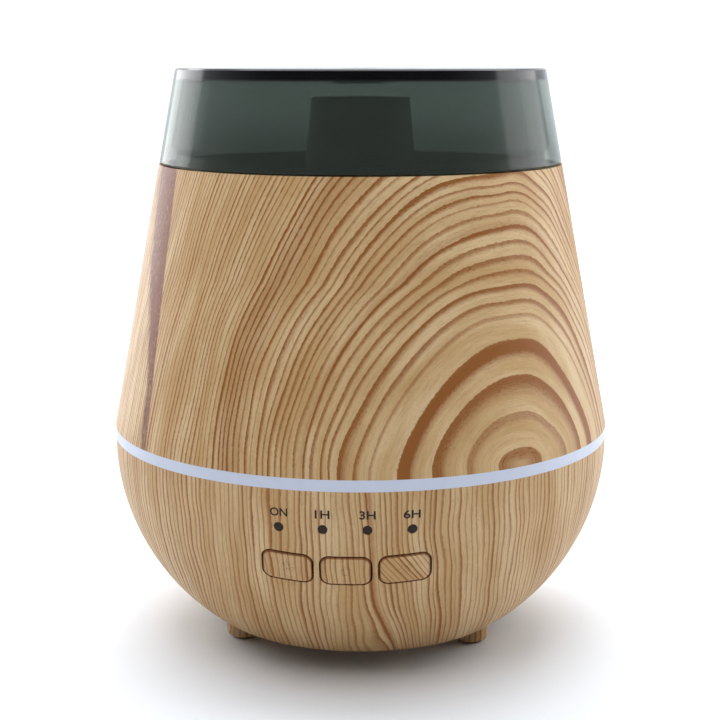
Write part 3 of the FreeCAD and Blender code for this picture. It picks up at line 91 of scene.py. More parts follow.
class Wire:
    """A shader socket that takes part in sums: every operator adds one Math node."""

    def __init__(self, tree, socket=None):
        self.tree, self.socket = tree, socket

    def make(self, kind, settings=None, sockets=None, output=0):
        """Adds any node, with its settings and its inputs by name, and gives one of its outputs."""
        made = self.tree.nodes.new(kind)
        for word, setting in (settings or {}).items():
            setattr(made, word, setting)
        for word, item in (sockets or {}).items():
            if isinstance(item, Wire):
                self.tree.links.new(item.socket, made.inputs[word])
            else:
                made.inputs[word].default_value = item
        return Wire(self.tree, made.outputs[output]) if made.outputs else None

    def sum(self, operation, *others):
        """The result of one Math node on this value and the others."""
        return self.make("ShaderNodeMath", {"operation": operation}, dict(enumerate((self, *others))))

    def __add__(self, other):
        return self.sum("ADD", other)

    def __sub__(self, other):
        return self.sum("SUBTRACT", other)

    def __mul__(self, other):
        return self.sum("MULTIPLY", other)

    def __truediv__(self, other):
        return self.sum("DIVIDE", other)

    def __pow__(self, other):
        return self.sum("POWER", other)

    __radd__, __rmul__ = __add__, __mul__

    def __rsub__(self, other):
        return self * -1.0 + other

    def __rtruediv__(self, other):
        return self ** -1.0 * other

    def clamp(self, low=0.0, high=1.0):
        """Never below low and never above high."""
        return self.sum("MAXIMUM", low).sum("MINIMUM", high)

    def step(self, start, end):
        """0 at start, 1 at end, with a smooth rise between them."""
        return self.make("ShaderNodeMapRange", {"interpolation_type": "SMOOTHSTEP"},
                         {"Value": self, "From Min": start, "From Max": end})

    def hill(self, middle, half_width):
        """1 at the middle, smoothly down to 0 at half a width to both sides."""
        return (self - middle).sum("ABSOLUTE").step(half_width, 0.0)

    def vector(self, y, z=0.0):
        """A position from three values, this one first."""
        return self.make("ShaderNodeCombineXYZ", None, {"X": self, "Y": y, "Z": z})

    def noise(self, scale=1.0, detail=2.0, rough=0.5, distortion=0.0):
        """Smooth noise from 0 to 1 at a position."""
        return self.make("ShaderNodeTexNoise", None, {"Vector": self, "Scale": scale, "Detail": detail,
                         "Roughness": rough, "Distortion": distortion})

    def chance(self):
        """A fixed random number for each value."""
        return self.make("ShaderNodeTexWhiteNoise", {"noise_dimensions": "1D"}, {"W": self})

    def mix(self, first, second):
        """The first colour where this is 0, the second where it is 1."""
        colours = [item if isinstance(item, Wire) else (*item, 1.0) for item in (first, second)]
        return self.make("ShaderNodeMix", {"data_type": "RGBA"}, {0: self, 6: colours[0], 7: colours[1]}, 2)


def material(name):
    """An empty material: the wire that makes its nodes, its position in millimetres and its finisher."""
    made = bpy.data.materials.new(name)
    made.use_nodes = True
    tree = made.node_tree
    tree.nodes.clear()
    start = Wire(tree)
    place = start.make("ShaderNodeTexCoord", output=3)
    place = start.make("ShaderNodeVectorMath", {"operation": "SCALE"}, {0: place, "Scale": 1 / MM})

    def finish(relief=None, **sockets):
        """Closes the material with a Principled shader; relief is a height in millimetres."""
        wired = {word.replace("_", " "): item for word, item in sockets.items()}
        if relief is not None:
            wired["Normal"] = start.make("ShaderNodeBump", None,
                                         {"Height": relief, "Distance": MM, "Strength": 1.0})
        shader = start.make("ShaderNodeBsdfPrincipled", None, wired)
        start.make("ShaderNodeOutputMaterial", None, {"Surface": shader})
        return made
    finish.made = made
    return start, place, finish


def split(place):
    """The three coordinates of a position."""
    return [place.make("ShaderNodeSeparateXYZ", None, {"Vector": place}, output=i) for i in range(3)]


# The room's air: bluish white all round, but dark in front, where the camera and a black flag stand.
AIR_WHITE, FLAG_BLACK, PLAIN_WHITE = (0.93, 0.965, 1.0), (0.045, 0.045, 0.05), (1.3, 1.3, 1.3)
world = bpy.data.worlds.new("studio_air")
world.use_nodes = True
world.node_tree.nodes.clear()
start = Wire(world.node_tree)
x, y, z = split(start.make("ShaderNodeTexCoord", output=0))
ahead = y * -1.0 / ((x ** 2.0 + y ** 2.0) ** 0.5 + 0.001)
dark_side = ahead.step(-0.55, 0.70) * z.step(0.95, 0.45) * z.step(-0.10, 0.05)
seen = start.make("ShaderNodeLightPath", output=0)
air = start.make("ShaderNodeBackground", None, {
    "Color": seen.mix(dark_side.mix(AIR_WHITE, FLAG_BLACK), PLAIN_WHITE), "Strength": 0.86})
start.make("ShaderNodeOutputWorld", None, {"Surface": air})
scene.world = world


# ---------------------------------------------------------------- floor
# White matt board that curves up behind the object, so that no horizon shows. It is a sheet whose height
# is the larger of a parabola and a steep straight climb; far from the object it glows to plain white.
SHEET_HALF, SHEET_FRONT, SHEET_REAR, SHEET_TOP = 3000, -2500, 1400, 2400
CURVE_START, CURVE_LENGTH, CURVE_RISE = 900, 500, 250
start, place, finish = material("white_board")
speckle = place.noise(0.02, 3.0)
x, y, z = split(place)
far = ((x ** 2.0 + y ** 2.0) ** 0.5).step(110.0, 420.0)
board = finish(Base_Color=speckle.mix((0.85, 0.885, 0.93), (0.88, 0.915, 0.96)), Roughness=0.9,
               Emission_Color=far.mix((0, 0, 0), (0.5, 0.5, 0.5)), Emission_Strength=1.0)
across = np.linspace(-SHEET_HALF, SHEET_HALF, 25)
along = np.concatenate([np.linspace(SHEET_FRONT, SHEET_REAR, 40), np.full(20, float(SHEET_REAR))])
climb = np.concatenate([np.zeros(40), np.linspace(0, SHEET_TOP, 21)[1:]])
bend = np.clip((along - CURVE_START) / CURVE_LENGTH, 0, 1)
climb = np.maximum(climb, CURVE_RISE * bend ** 2)
sheet = np.stack(np.broadcast_arrays(across[None, :], along[:, None], climb[:, None]), axis=-1)
floor = bpy.data.meshes.new("floor")
count = np.arange(sheet[..., 0].size).reshape(sheet.shape[:2])
corners = [count[:-1, :-1], count[:-1, 1:], count[1:, 1:], count[1:, :-1]]
floor.from_pydata(sheet.reshape(-1, 3) * MM, [], np.stack(corners, axis=-1).reshape(-1, 4).tolist())
floor.shade_smooth()
floor.materials.append(board)
floor = bpy.data.objects.new("floor", floor)
scene.collection.objects.link(floor)


# ---------------------------------------------------------------- upper shell
# Injection-moulded cone wrapped in a printed wood film. The print shows a flat-sawn pine board: arches
# to the right of the panel, close upright rings to the left, and one strip of dark heartwood.
PALE, TAN = (0.64, 0.455, 0.25), (0.50, 0.31, 0.132)
BROWN, RUST = (0.255, 0.088, 0.018), (0.165, 0.045, 0.020)
FIBRE = tuple(c * 0.62 for c in TAN)
ARCH_AZIMUTH, ARCH_FOOT = 39.5, 62.0  # where the arches stand: degrees round, and height
ARCH_ROUND, ARCH_WIDE, ARCH_RIGHT = 7.0, 1.28, 1.12
RING_PITCH, RING_OFFSET = 8.8, 5.4  # of the innermost arches
CLOSER = ((35.0, 0.16), (45.0, 0.14), (57.0, 0.18), (80.0, 0.12))  # from a size on, so many more each mm
HEART_EDGE, HEART_LEAN, HEART_WIDE, HEART_NARROW = -46.7, -0.0645, 11.5, 2.4  # degrees


def film(name, grain):
    """Printed wood film: grain(start, place) gives lateness, tone, fibre and heart from 0 to 1."""
    start, place, finish = material(name)
    late, tone, fibre, heart = grain(start, place)
    ground = tone.mix(TAN, PALE)
    ground = (fibre * 0.5).mix(ground, FIBRE)
    inked = late.mix(ground, BROWN)
    inked = heart.mix(inked, RUST)
    sheen = 0.46 + late * 0.05 + fibre * 0.05
    return finish(relief=fibre * 0.004, Base_Color=inked, Roughness=sheen, Coat_Weight=0.02,
                  Coat_Roughness=0.25, Specular_IOR_Level=0.2)


def rings(count, width, sharp):
    """Late wood of each ring: a slow rise and a quick fall at whole numbers of the count."""
    part = count.sum("FRACT")
    return part.step(1.0 - width, 0.97 - sharp) * part.step(1.0, 0.97)


def arches(start, place):
    """Nested arches: a ring's size is a rounded sum of how far a point is to the side and above the foot.

    Further out the rings close up, are pulled straighter and waver more.
    """
    x, y, z = split(place)
    azimuth = x.sum("ARCTAN2", y * -1.0) * math.degrees(1.0)
    waver = azimuth.vector(z * 0.55).noise(0.05, 1.0) - 0.5
    side = azimuth - ARCH_AZIMUTH + waver * 4.0
    left, right = (side * -1.0).sum("MAXIMUM", 0.0), side.sum("MAXIMUM", 0.0) * ARCH_RIGHT
    reach = (((left + right) ** 2.0 + ARCH_ROUND ** 2) ** 0.5 - ARCH_ROUND) * ARCH_WIDE
    rise = (z - ARCH_FOOT + waver * 3.0).sum("MAXIMUM", 0.2)
    level = rise - (rise - 45.0).sum("MAXIMUM", 0.0) * 0.3
    rough = (reach ** 2.0 + level ** 2.0) ** 0.5
    power = ((rough - 26.0) / 50.0).clamp() * 0.75 + 1.45
    ring = (reach ** power + level ** power) ** (1.0 / power)
    round_it = level.sum("ARCTAN2", side * -1.0) * ring
    jitter = (ring * 0.5).vector(round_it * 0.03, 3.0).noise(0.6, 2.0) - 0.5
    grit = (ring * 2.6).vector(round_it * 0.9, 4.0).noise(1.0, 2.0, 0.6) - 0.5
    count = (ring + RING_OFFSET) / RING_PITCH
    for size, more in CLOSER:
        count = count + (ring - size).sum("MAXIMUM", 0.0) * more
    spread = ring.step(20.0, 70.0)
    count = count + jitter * (spread * 1.1 + 0.15) + grit * (spread * 0.18 + 0.07)
    each = count.sum("FLOOR").chance()
    late = rings(count, 0.34 + each * 0.34, 0.10) * (0.50 + each * 0.50)
    late = late + (ring + grit * 1.6).hill(27.0, 3.0) * 0.5 + ring.hill(54.0, 1.5) * 0.3
    dense = ring.hill(75.5, 7.0) * 0.34
    late = (late * (1.0 + dense) + dense).clamp()
    fibre = (ring * 5.5).vector(round_it * 0.35, 1.0).noise(0.55, 4.0, 0.7).step(0.42, 0.78)
    fleck = (ring * 6.0).vector(round_it * 1.6, 7.0).noise(0.6, 2.0, 0.6).step(0.52, 0.66)
    late = (late + fleck * (0.14 + late * 0.2)).clamp()
    tone = (ring * 0.16).vector(round_it * 0.03, 2.0).noise(1.0, 2.0).step(0.3, 0.7)
    # heartwood strip, straight at its right edge and ragged at its left
    edge = z * HEART_LEAN + HEART_EDGE
    width = z.step(72.0, 128.0) * HEART_WIDE + HEART_NARROW
    swirl = (azimuth * 1.3).vector(z * 0.16, 5.0).noise(0.5, 3.0, 0.6, 1.2)
    inside = (edge - azimuth) / width
    heart = inside.step(0.0, 0.09) * (inside + (swirl - 0.5) * 1.3).step(1.35, 0.65)
    veins = (swirl * 9.0).sum("FRACT").step(0.55, 0.95)
    heart = heart * (1.35 - veins * 0.65 - (1.0 - z.step(62.0, 96.0)) * 0.35)
    return late * (1.0 - heart * 0.8), tone, fibre, heart.clamp()


def dress(made, *names):
    """Gives CAD nodes a material."""
    for name in names:
        nodes[name].data.materials.clear()
        nodes[name].data.materials.append(made)


dress(film("wood_film_upper", arches), "upper_shell")


# ---------------------------------------------------------------- lower shell
# Bowl in the same film, with its rings close to upright and one broad ring that bends under the panel.
# The base plate carries another stretch of it, laid flat, and its feet are wrapped with it.
BOWL_REACH = 66.0  # behind, the rings keep the spacing that they have on this radius
UPRIGHT_PITCH, BROAD_RING, BEND_BELOW = 1.5, 6.3, 38.0


def upright(shift=0.0, slant=0.0, heat=0.0, flat=False):
    """Rings that run up the bowl, or straight from front to back where the film is laid flat."""
    def grain(start, place):
        x, y, z = split(place)
        radius = (x ** 2.0 + y ** 2.0) ** 0.5
        azimuth = x.sum("ARCTAN2", y * -1.0)
        behind = azimuth.sum("ABSOLUTE").step(0.9, 2.2)
        across = x if flat else azimuth * (radius + (BOWL_REACH - radius) * behind)
        across = across + shift + z * slant
        waver = (across * 0.035).vector(z * 0.03, 4.0).noise(1.0, 2.0) - 0.5
        lean = (BEND_BELOW - z).sum("MAXIMUM", 0.0)
        flow = across - across.hill(12.0, 12.0) * lean * 0.16 + waver * 6.0
        jitter = (flow * 0.4).vector(z * 0.022, 9.0).noise(0.8, 2.0) - 0.5
        grit = (flow * 2.4).vector(z * 0.7, 4.0).noise(1.0, 2.0, 0.6) - 0.5
        count = flow / UPRIGHT_PITCH + jitter * 1.6 + grit * 0.2
        each = count.sum("FLOOR").chance()
        group = (flow * 0.07).vector(z * 0.004, 6.0).noise(1.0, 1.0).step(0.42, 0.66)
        late = rings(count, 0.36 + each * 0.34, 0.10) * (0.44 + each * 0.46 + group * 0.16)
        late = (late + flow.hill(BROAD_RING, 1.2) * 0.6).clamp()
        fibre = (flow * 4.0).vector(z * 0.25, 1.0).noise(0.6, 4.0, 0.7).step(0.42, 0.78)
        fleck = (flow * 5.0).vector(z * 1.4, 7.0).noise(0.6, 2.0, 0.6).step(0.54, 0.66)
        tone = (flow * 0.10).vector(z * 0.02, 2.0).noise(1.0, 2.0).step(0.3, 0.7)
        return (late + fleck * 0.12 + heat).clamp(), tone, fibre, group * 0.05
    return grain


dress(film("wood_film_lower", upright()), "lower_shell")
dress(film("wood_film_base", upright(31.0, flat=True)), "bottom_cover")


# ---------------------------------------------------------------- buttons
# Film-covered caps, each moulded to the bowl's curve with rounded edges, a raised symbol and a stem that
# presses its switch. Each is cut from another stretch of film, so its grain doesn't run on.
BOWL_ARC, BOWL_SHIFT, BOWL_Z = 62.06, 7.94, 56.5
BUTTON_Z = 36.0
PANEL_TILT = math.asin((BOWL_Z - BUTTON_Z) / BOWL_ARC)
PANEL_AT = np.array([0.0, -BOWL_SHIFT - BOWL_ARC * math.cos(PANEL_TILT), BUTTON_Z])
PANEL_X = np.array([1.0, 0.0, 0.0])
PANEL_Y = np.array([0.0, -math.sin(PANEL_TILT), math.cos(PANEL_TILT)])
PANEL_OUT = np.array([0.0, -math.cos(PANEL_TILT), -math.sin(PANEL_TILT)])
HALF_WIDTH, HALF_HEIGHT, CORNER = 6.3, 4.1, 2.3
PITCH, PROUD, EDGE, SIDE, STEM, STEM_END = 14.76, 0.3, 0.45, 2.1, 1.9, -5.0
STROKE, STROKE_FADE, RAISED = 0.26, 0.16, 0.16  # a symbol's half width, its slope and its height


def add_piece(name, spots, faces, body, made, replaced=()):
    """A smooth mesh from points in millimetres; it rides on a body and may stand for a CAD node."""
    mesh = bpy.data.meshes.new(name)
    mesh.from_pydata(spots * MM, [], faces)
    mesh.shade_smooth()
    mesh.materials.append(made)
    piece = bpy.data.objects.new(name, mesh)
    scene.collection.objects.link(piece)
    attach(piece, body)
    if replaced:
        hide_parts(*replaced)
    return piece


def skin(grids):
    """Closed skins through rows by columns of points, as the points and faces of one mesh.

    The columns run round; the first and last row close onto their middle.
    """
    spots, faces, used = [], [], 0
    for points in grids:
        rows, columns = points.shape[:2]
        index = np.arange(rows * columns).reshape(rows, columns) + used
        index = np.hstack([index, index[:, :1]])
        corners = [index[:-1, :-1], index[1:, :-1], index[1:, 1:], index[:-1, 1:]]
        faces += np.stack(corners, axis=-1).reshape(-1, 4).tolist()
        tips = used + rows * columns + np.arange(2)
        faces += np.stack([index[0, :-1], index[0, 1:], np.full(columns, tips[0])], axis=-1).tolist()
        faces += np.stack([index[-1, 1:], index[-1, :-1], np.full(columns, tips[1])], axis=-1).tolist()
        spots += [points.reshape(-1, 3), points[0].mean(axis=0)[None], points[-1].mean(axis=0)[None]]
        used = tips[1] + 1
    return np.vstack(spots), faces


def on_bowl(across, up, proud):
    """The panel's point (across, up) moved straight out until it stands proud of the bowl's arc."""
    out = np.zeros_like(across)
    for _ in range(6):
        spot = PANEL_AT + across[..., None] * PANEL_X + up[..., None] * PANEL_Y
        spot = spot + out[..., None] * PANEL_OUT
        from_axis = np.hypot(spot[..., 0], spot[..., 1]) - BOWL_SHIFT
        out = out + proud + BOWL_ARC - np.hypot(from_axis, spot[..., 2] - BOWL_Z)
    return spot


def near_lines(across, up, lines):
    """Distance from each point to the nearest of some straight lines (x0, y0, x1, y1)."""
    lines = np.asarray(lines, dtype=float)
    start, run = lines[:, :2], lines[:, 2:] - lines[:, :2]
    gap = np.stack([across, up], axis=-1)[..., None, :] - start
    part = np.clip((gap * run).sum(-1) / (run ** 2).sum(-1), 0, 1)
    return np.linalg.norm(gap - part[..., None] * run, axis=-1).min(-1)


def polyline(x, y):
    """The lines that join points in a row."""
    return np.stack([x[:-1], y[:-1], x[1:], y[1:]], axis=-1)


# symbols in millimetres: a lamp with eight rays, an open ring with a bar, three rising waves
LAMP_RING, RAY_START, RAY_END, POWER_RING = 0.62, 1.0, 1.55, 1.2
bend = np.linspace(0, 2 * np.pi, 25)
rays = np.arange(8) * np.pi / 4
ray_x, ray_y = np.cos(rays), np.sin(rays)
lamp_sign = np.vstack([
    polyline(LAMP_RING * np.cos(bend), LAMP_RING * np.sin(bend)),
    np.stack([RAY_START * ray_x, RAY_START * ray_y, RAY_END * ray_x, RAY_END * ray_y], axis=-1)])
open_bend = np.radians(np.linspace(125, 415, 22))
power_sign = np.vstack([polyline(POWER_RING * np.cos(open_bend), POWER_RING * np.sin(open_bend)),
                        [[0, 0.3, 0, 1.5]]])
climb = np.linspace(-1.3, 1.3, 14)
mist_sign = np.vstack([polyline(0.28 * np.sin(climb * 2.6) + aside, climb) for aside in (-1.1, 0.0, 1.1)])

# outline: rays cut a rectangle, and what lies past the corners' circles is pulled in onto them
turn = np.linspace(0, 2 * np.pi, 480, endpoint=False)
widest = np.maximum(np.abs(np.cos(turn)) / HALF_WIDTH, np.abs(np.sin(turn)) / HALF_HEIGHT)
corner_x, corner_y = HALF_WIDTH - CORNER, HALF_HEIGHT - CORNER
side_x, side_y = np.cos(turn) / widest, np.sin(turn) / widest
past_x, past_y = np.maximum(np.abs(side_x) - corner_x, 0), np.maximum(np.abs(side_y) - corner_y, 0)
over = np.hypot(past_x, past_y)
pull = np.where(over > CORNER, CORNER / np.maximum(over, 1e-6), 1.0)
rim_x = np.sign(side_x) * (np.minimum(np.abs(side_x), corner_x) + past_x * pull)
rim_y = np.sign(side_y) * (np.minimum(np.abs(side_y), corner_y) + past_y * pull)


def cap(side, sign):
    """A cap's skin: the face from its middle outwards, a quarter-round edge, the side, back and stem."""
    face = np.linspace(0.01, 1, 74)[:-1] ** 0.8
    quarter = np.linspace(0, np.pi / 2, 10)
    inset = EDGE * (1 - np.sin(quarter))
    wide = np.concatenate([face * (1 - EDGE / HALF_WIDTH), 1 - inset / HALF_WIDTH, [1, 1, 0.8, 0.6]])
    tall = np.concatenate([face * (1 - EDGE / HALF_HEIGHT), 1 - inset / HALF_HEIGHT, [1, 1, 0.8, 0.6]])
    down = np.concatenate([0 * face, EDGE * (1 - np.cos(quarter)), [1.2, SIDE, SIDE, SIDE]])[:, None]
    across, up = rim_x * wide[:, None], rim_y * tall[:, None]
    raised = np.clip((STROKE - near_lines(across, up, sign)) / STROKE_FADE, 0, 1)
    on_face = (np.arange(len(wide)) < len(face))[:, None]
    height = RAISED * raised ** 2 * (3 - 2 * raised) * on_face - down
    front = on_bowl(across + side * PITCH, up, PROUD + height)
    stem_x, stem_y = STEM * np.cos(turn), STEM * np.sin(turn)
    neck = on_bowl(stem_x + side * PITCH, stem_y, np.full(turn.shape, PROUD - SIDE))
    foot = PANEL_AT + (stem_x + side * PITCH)[:, None] * PANEL_X + stem_y[:, None] * PANEL_Y
    foot = foot + STEM_END * PANEL_OUT
    return np.concatenate([front, neck[None], foot[None]])


def painted_shade_rim(side, grain):
    """The grain of a cap's film, darkened and browned at the cap's rounded edge: painted shade where the edge
    turns down into the gap round the cap.
    """
    def rimmed(start, place):
        late, tone, fibre, heart = grain(start, place)
        x, y, z = split(place)
        up = (y - float(PANEL_AT[1])) * float(PANEL_Y[1]) + (z - float(PANEL_AT[2])) * float(PANEL_Y[2])
        beside = ((x - side * PITCH).sum("ABSOLUTE") - corner_x).sum("MAXIMUM", 0.0)
        above = (up.sum("ABSOLUTE") - corner_y).sum("MAXIMUM", 0.0)
        # painted shade: the rim darkens the film where the cap's edge rolls down into the gap
        rim = ((beside ** 2.0 + above ** 2.0) ** 0.5).step(CORNER - 0.42, CORNER - 0.15)
        return (late + rim * 0.7).clamp(), tone, fibre, (heart + rim * 0.35).clamp()
    return rimmed


CAPS = {  # side, symbol, body, and the film's shift, slant and warmth
    "light_button": (-1, lamp_sign, "light_key", 47.0, 0.05, 0.12),
    "power_button": (0, power_sign, "power_key", 83.0, -0.04, 0.0),
    "mist_button": (1, mist_sign, "mist_key", 121.0, 0.7, 0.0),
}
for name, (side, sign, body, shift, slant, heat) in CAPS.items():
    spots, faces = skin([cap(side, sign)])
    add_piece(name + "_cap", spots, faces, body,
              film("wood_film_" + name, painted_shade_rim(side, upright(shift, slant, heat))), [name])


# ---------------------------------------------------------------- timer marks
# Dark pad print on the film, over the four indicator dots: how many hours the diffuser runs. Flat letters
# are scaled to their width and height, bent round the bowl's arc and stand a few hundredths proud.
start, place, finish = material("timer_ink")
ink_spots = place.noise(5.0, 3.0)
ink = finish(relief=ink_spots * 0.002, Base_Color=ink_spots.mix((0.012, 0.010, 0.009), (0.030, 0.024, 0.020)),
             Roughness=ink_spots * 0.15 + 0.55, Specular_IOR_Level=0.2)
TIMER_MARKS = {"ON": (-13.7, 4.5), "1H": (-4.6, 3.7), "3H": (4.6, 4.0), "6H": (13.7, 4.3)}  # azimuth, width
MARK_HEIGHT, MARK_Z, INK_OUT, INK_THICK, BOLDER = 2.2, 51.6, 0.02, 0.02, 0.018
for text, (azimuth, width) in TIMER_MARKS.items():
    letters = bpy.data.curves.new("letters", "FONT")
    letters.body, letters.resolution_u = text, 6
    letters.extrude, letters.offset = INK_THICK, BOLDER
    holder = bpy.data.objects.new("letters", letters)
    scene.collection.objects.link(holder)
    bpy.context.view_layer.update()
    flat = bpy.data.meshes.new_from_object(holder.evaluated_get(bpy.context.evaluated_depsgraph_get()))
    bpy.data.objects.remove(holder)
    spots = np.empty(len(flat.vertices) * 3)
    flat.vertices.foreach_get("co", spots)
    spots = spots.reshape(-1, 3)
    low, high = spots.min(axis=0), spots.max(axis=0)
    part = (spots - (low + high) / 2) / (high - low)
    up = MARK_Z + part[:, 1] * MARK_HEIGHT
    ink_radius = BOWL_ARC + INK_OUT + part[:, 2] * INK_THICK
    reach = BOWL_SHIFT + np.sqrt(ink_radius ** 2 - (up - BOWL_Z) ** 2)
    turned = math.radians(azimuth) + part[:, 0] * width / reach
    spots = np.stack([reach * np.sin(turned), -reach * np.cos(turned), up], axis=-1)
    faces = [list(polygon.vertices) for polygon in flat.polygons]
    add_piece("timer_mark_" + text, spots, faces, "base", ink)


# ---------------------------------------------------------------- screws
# Pan-head screws of zinc-plated steel with a cross recess and a rolled thread: three hold the base plate,
# three the piezo disc's retainer, two the control board, four the fan and its duct, two the main board.
start, place, finish = material("plated_steel")
tone_blend = place.noise(0.8, 3.0)
turning = place.noise(9.0, 2.0)
plated = finish(relief=turning * 0.003, Base_Color=tone_blend.mix((0.50, 0.50, 0.47), (0.62, 0.61, 0.56)),
                Metallic=1.0, Roughness=tone_blend * 0.18 + 0.22)


# shares of a screw's own head radius, head height and thread radius
DOME_SHARE, DOME_DROP, BAR_END, BAR_HALF, BAR_SLOPE, RECESS = 0.86, 0.22, 0.52, 0.24, 0.10, 0.62
THREAD_PITCH, THREAD_DEPTH, TIP_LENGTH = 0.62, 0.2, 1.2


def screw(seat, way, head_radius, head, radius, length):
    """Skin of a screw whose head sits at seat and whose thread runs along way.

    The head's top is a shallow dome, lowered along two crossed bars, and its edge is a quarter round. The
    thread is a triangle wave of the height plus the turn, fading out at its start and tip.
    """
    angle = np.linspace(0, 2 * np.pi, 48, endpoint=False)
    level = np.zeros(48)
    top = np.linspace(0.02, 1, 22)[:, None] * head_radius * DOME_SHARE
    across, along = top * np.cos(angle), top * np.sin(angle)
    bar_end = head_radius * BAR_END
    bar = np.minimum(np.hypot(across, np.maximum(np.abs(along) - bar_end, 0)),
                     np.hypot(along, np.maximum(np.abs(across) - bar_end, 0)))
    sunk = np.clip((head_radius * BAR_HALF - bar) / (head_radius * BAR_SLOPE), 0, 1)
    dome = head * (1 - DOME_DROP * (top / head_radius) ** 2) - sunk * head * RECESS
    quarter = np.linspace(0, np.pi / 2, 6)[1:, None]
    round_r = head_radius * (DOME_SHARE + 0.14 * np.sin(quarter)) + level
    round_z = head * (0.837 - 0.30 * (1 - np.cos(quarter))) + level
    under_r = np.array([[1.0], [0.98]]) * head_radius + level
    under_z = np.array([[0.12], [0.0]]) * head + level
    pitch = radius * THREAD_PITCH
    drop = np.linspace(0, length, int(length / pitch * 8))[:, None]
    wave = np.abs(((drop / pitch + angle / (2 * np.pi)) % 1.0) * 2 - 1)
    fade = np.clip(drop / pitch, 0, 1) * np.clip((length - drop) / (1.5 * pitch), 0, 1)
    tip = np.clip((length - drop) / (radius * TIP_LENGTH), 0.25, 1) ** 0.5
    thread = radius * tip * (1 - THREAD_DEPTH * wave * fade)
    radii = np.vstack([np.hypot(across, along), round_r, under_r, thread])
    heights = np.vstack([dome, round_z, under_z, level - drop])
    way = np.asarray(way, dtype=float)
    side = np.cross(way, [1.0, 0.0, 0.0])
    side /= np.linalg.norm(side)
    third = np.cross(side, way)
    round_way = np.cos(angle)[:, None] * third - np.sin(angle)[:, None] * side
    return np.asarray(seat) + radii[..., None] * round_way - heights[..., None] * way


UP, DOWN = (0, 0, 1), (0, 0, -1)
SMALL = (2.0, 1.2, 1.0)  # head radius, head height and thread radius of the small screws
BOARD_BELOW, BOARD_BEHIND = 5.6, 11.2  # the control board's screws, from the middle of the panel
board_at = PANEL_AT - BOARD_BELOW * PANEL_Y - BOARD_BEHIND * PANEL_OUT
control_seats = [board_at + across * PANEL_X for across in (-18, 18)]
SCREWS = {  # where the heads seat, the way the thread runs, sizes, thread length
    "base_screws": ([(0, -36, 6.6), (31.18, 18, 6.6), (-31.18, 18, 6.6)], UP, (2.9, 1.1, 1.45), 11.0),
    "transducer_screws": ([(16.45, -9.5, 27.2), (0, 19, 27.2), (-16.45, -9.5, 27.2)], UP, SMALL, 5.0),
    "control_board_screws": (control_seats, PANEL_OUT, SMALL, 4.2),
    "fan_screws": ([(-16, -4, 21.8), (16, -4, 21.8), (16, 28, 21.8), (-16, 28, 21.8)], DOWN, SMALL, 13.7),
    "main_board_screws": ([(-24, -21.2, 14.1), (24, -21.2, 14.1)], DOWN, SMALL, 5.1),
}
for name, (seats, way, sizes, length) in SCREWS.items():
    spots, faces = skin([screw(seat, way, *sizes, length) for seat in seats])
    add_piece(name.replace("screws", "screw_set"), spots, faces, "base", plated, [name])


# ---------------------------------------------------------------- crown
# Smoked styrene crown, moulded in one with its near-black top plate and glued into the cover. Its wall
# lets some light through; towards its foot it shows more dark smoke, painted shade where less light reaches
# it.
PLATE_START, PLATE_END = 155.6, 156.6  # heights over which the wall turns into the plate
FOOT_START, FOOT_END = 150.0, 128.0
SMOKE, SMOKE_THIN, PLATE_BLACK = (0.036, 0.043, 0.036), (0.046, 0.054, 0.046), (0.004, 0.004, 0.005)
start, place, finish = material("smoked_plastic")
x, y, z = split(place)
cloud = place.noise(0.03, 2.0)
plate = z.step(PLATE_START, PLATE_END)
# painted shade: the crown grows darker and less clear towards its foot, which gets less light from above
low = z.step(FOOT_START, FOOT_END)
shade = start.make("ShaderNodeBsdfPrincipled", None, {
    "Base Color": plate.mix(cloud.mix(SMOKE, SMOKE_THIN), PLATE_BLACK),
    "Roughness": place.noise(0.05, 3.0) * 0.05 + 0.11, "IOR": 1.42})
clear = start.make("ShaderNodeBsdfTransparent", None, {"Color": (0.84, 0.90, 0.865, 1)})
share = (0.50 + low * 0.16 + plate * 0.48).clamp(0.0, 0.985)
mixed = start.make("ShaderNodeMixShader", None, {0: share, 1: clear, 2: shade})
start.make("ShaderNodeOutputMaterial", None, {"Surface": mixed})
dress(finish.made, "smoked_crown")


# ---------------------------------------------------------------- inner plastics and rubber
# Injection-moulded parts inside the shells: fine eroded texture, a little colour drift, and dull patches
# where fingers have polished or dusted them. The splash guard is painted lighter grey towards its top,
# painted light from the lamps above shining in through the crown, with a few real grey scale marks.
def moulded(name, colour, rough, grain=4.0, depth=0.004, vary=0.12, **extra):
    """Plastic with an eroded texture, slight drift and patches; grain is the texture's count per mm."""
    start, place, finish = material(name)
    drift = place.noise(0.05, 2.0)
    texture = place.noise(grain, 3.0, 0.6)
    patch = place.noise(0.16, 3.0, 0.6).step(0.45, 0.65)
    darker = tuple(c * (1 - vary) for c in colour)
    return finish(relief=texture * depth, Base_Color=(drift * 0.6 + patch * 0.4).mix(colour, darker),
                  Roughness=texture * 0.12 + patch * 0.06 + rough, **extra)


PAINTED_LIGHT_START, PAINTED_LIGHT_END = 122.0, 151.0  # heights
GUARD_TAUPE, PAINTED_LIGHT_AND_SCALE_GREY = (0.125, 0.104, 0.068), (0.36, 0.365, 0.33)
start, place, finish = material("guard_plastic")
x, y, z = split(place)
texture = place.noise(3.0, 3.0, 0.6)
scale_marks = place.noise(0.22, 4.0, 0.65).step(0.52, 0.68)
# painted light: the guard turns lighter grey towards its top, where light falls in through the crown; the
# scale marks are real grey patches
tone_blend = z.step(PAINTED_LIGHT_START, PAINTED_LIGHT_END) * 0.8 + scale_marks * 0.12
guard = finish(relief=texture * 0.004, Base_Color=tone_blend.mix(GUARD_TAUPE, PAINTED_LIGHT_AND_SCALE_GREY),
               Roughness=texture * 0.12 + 0.46)

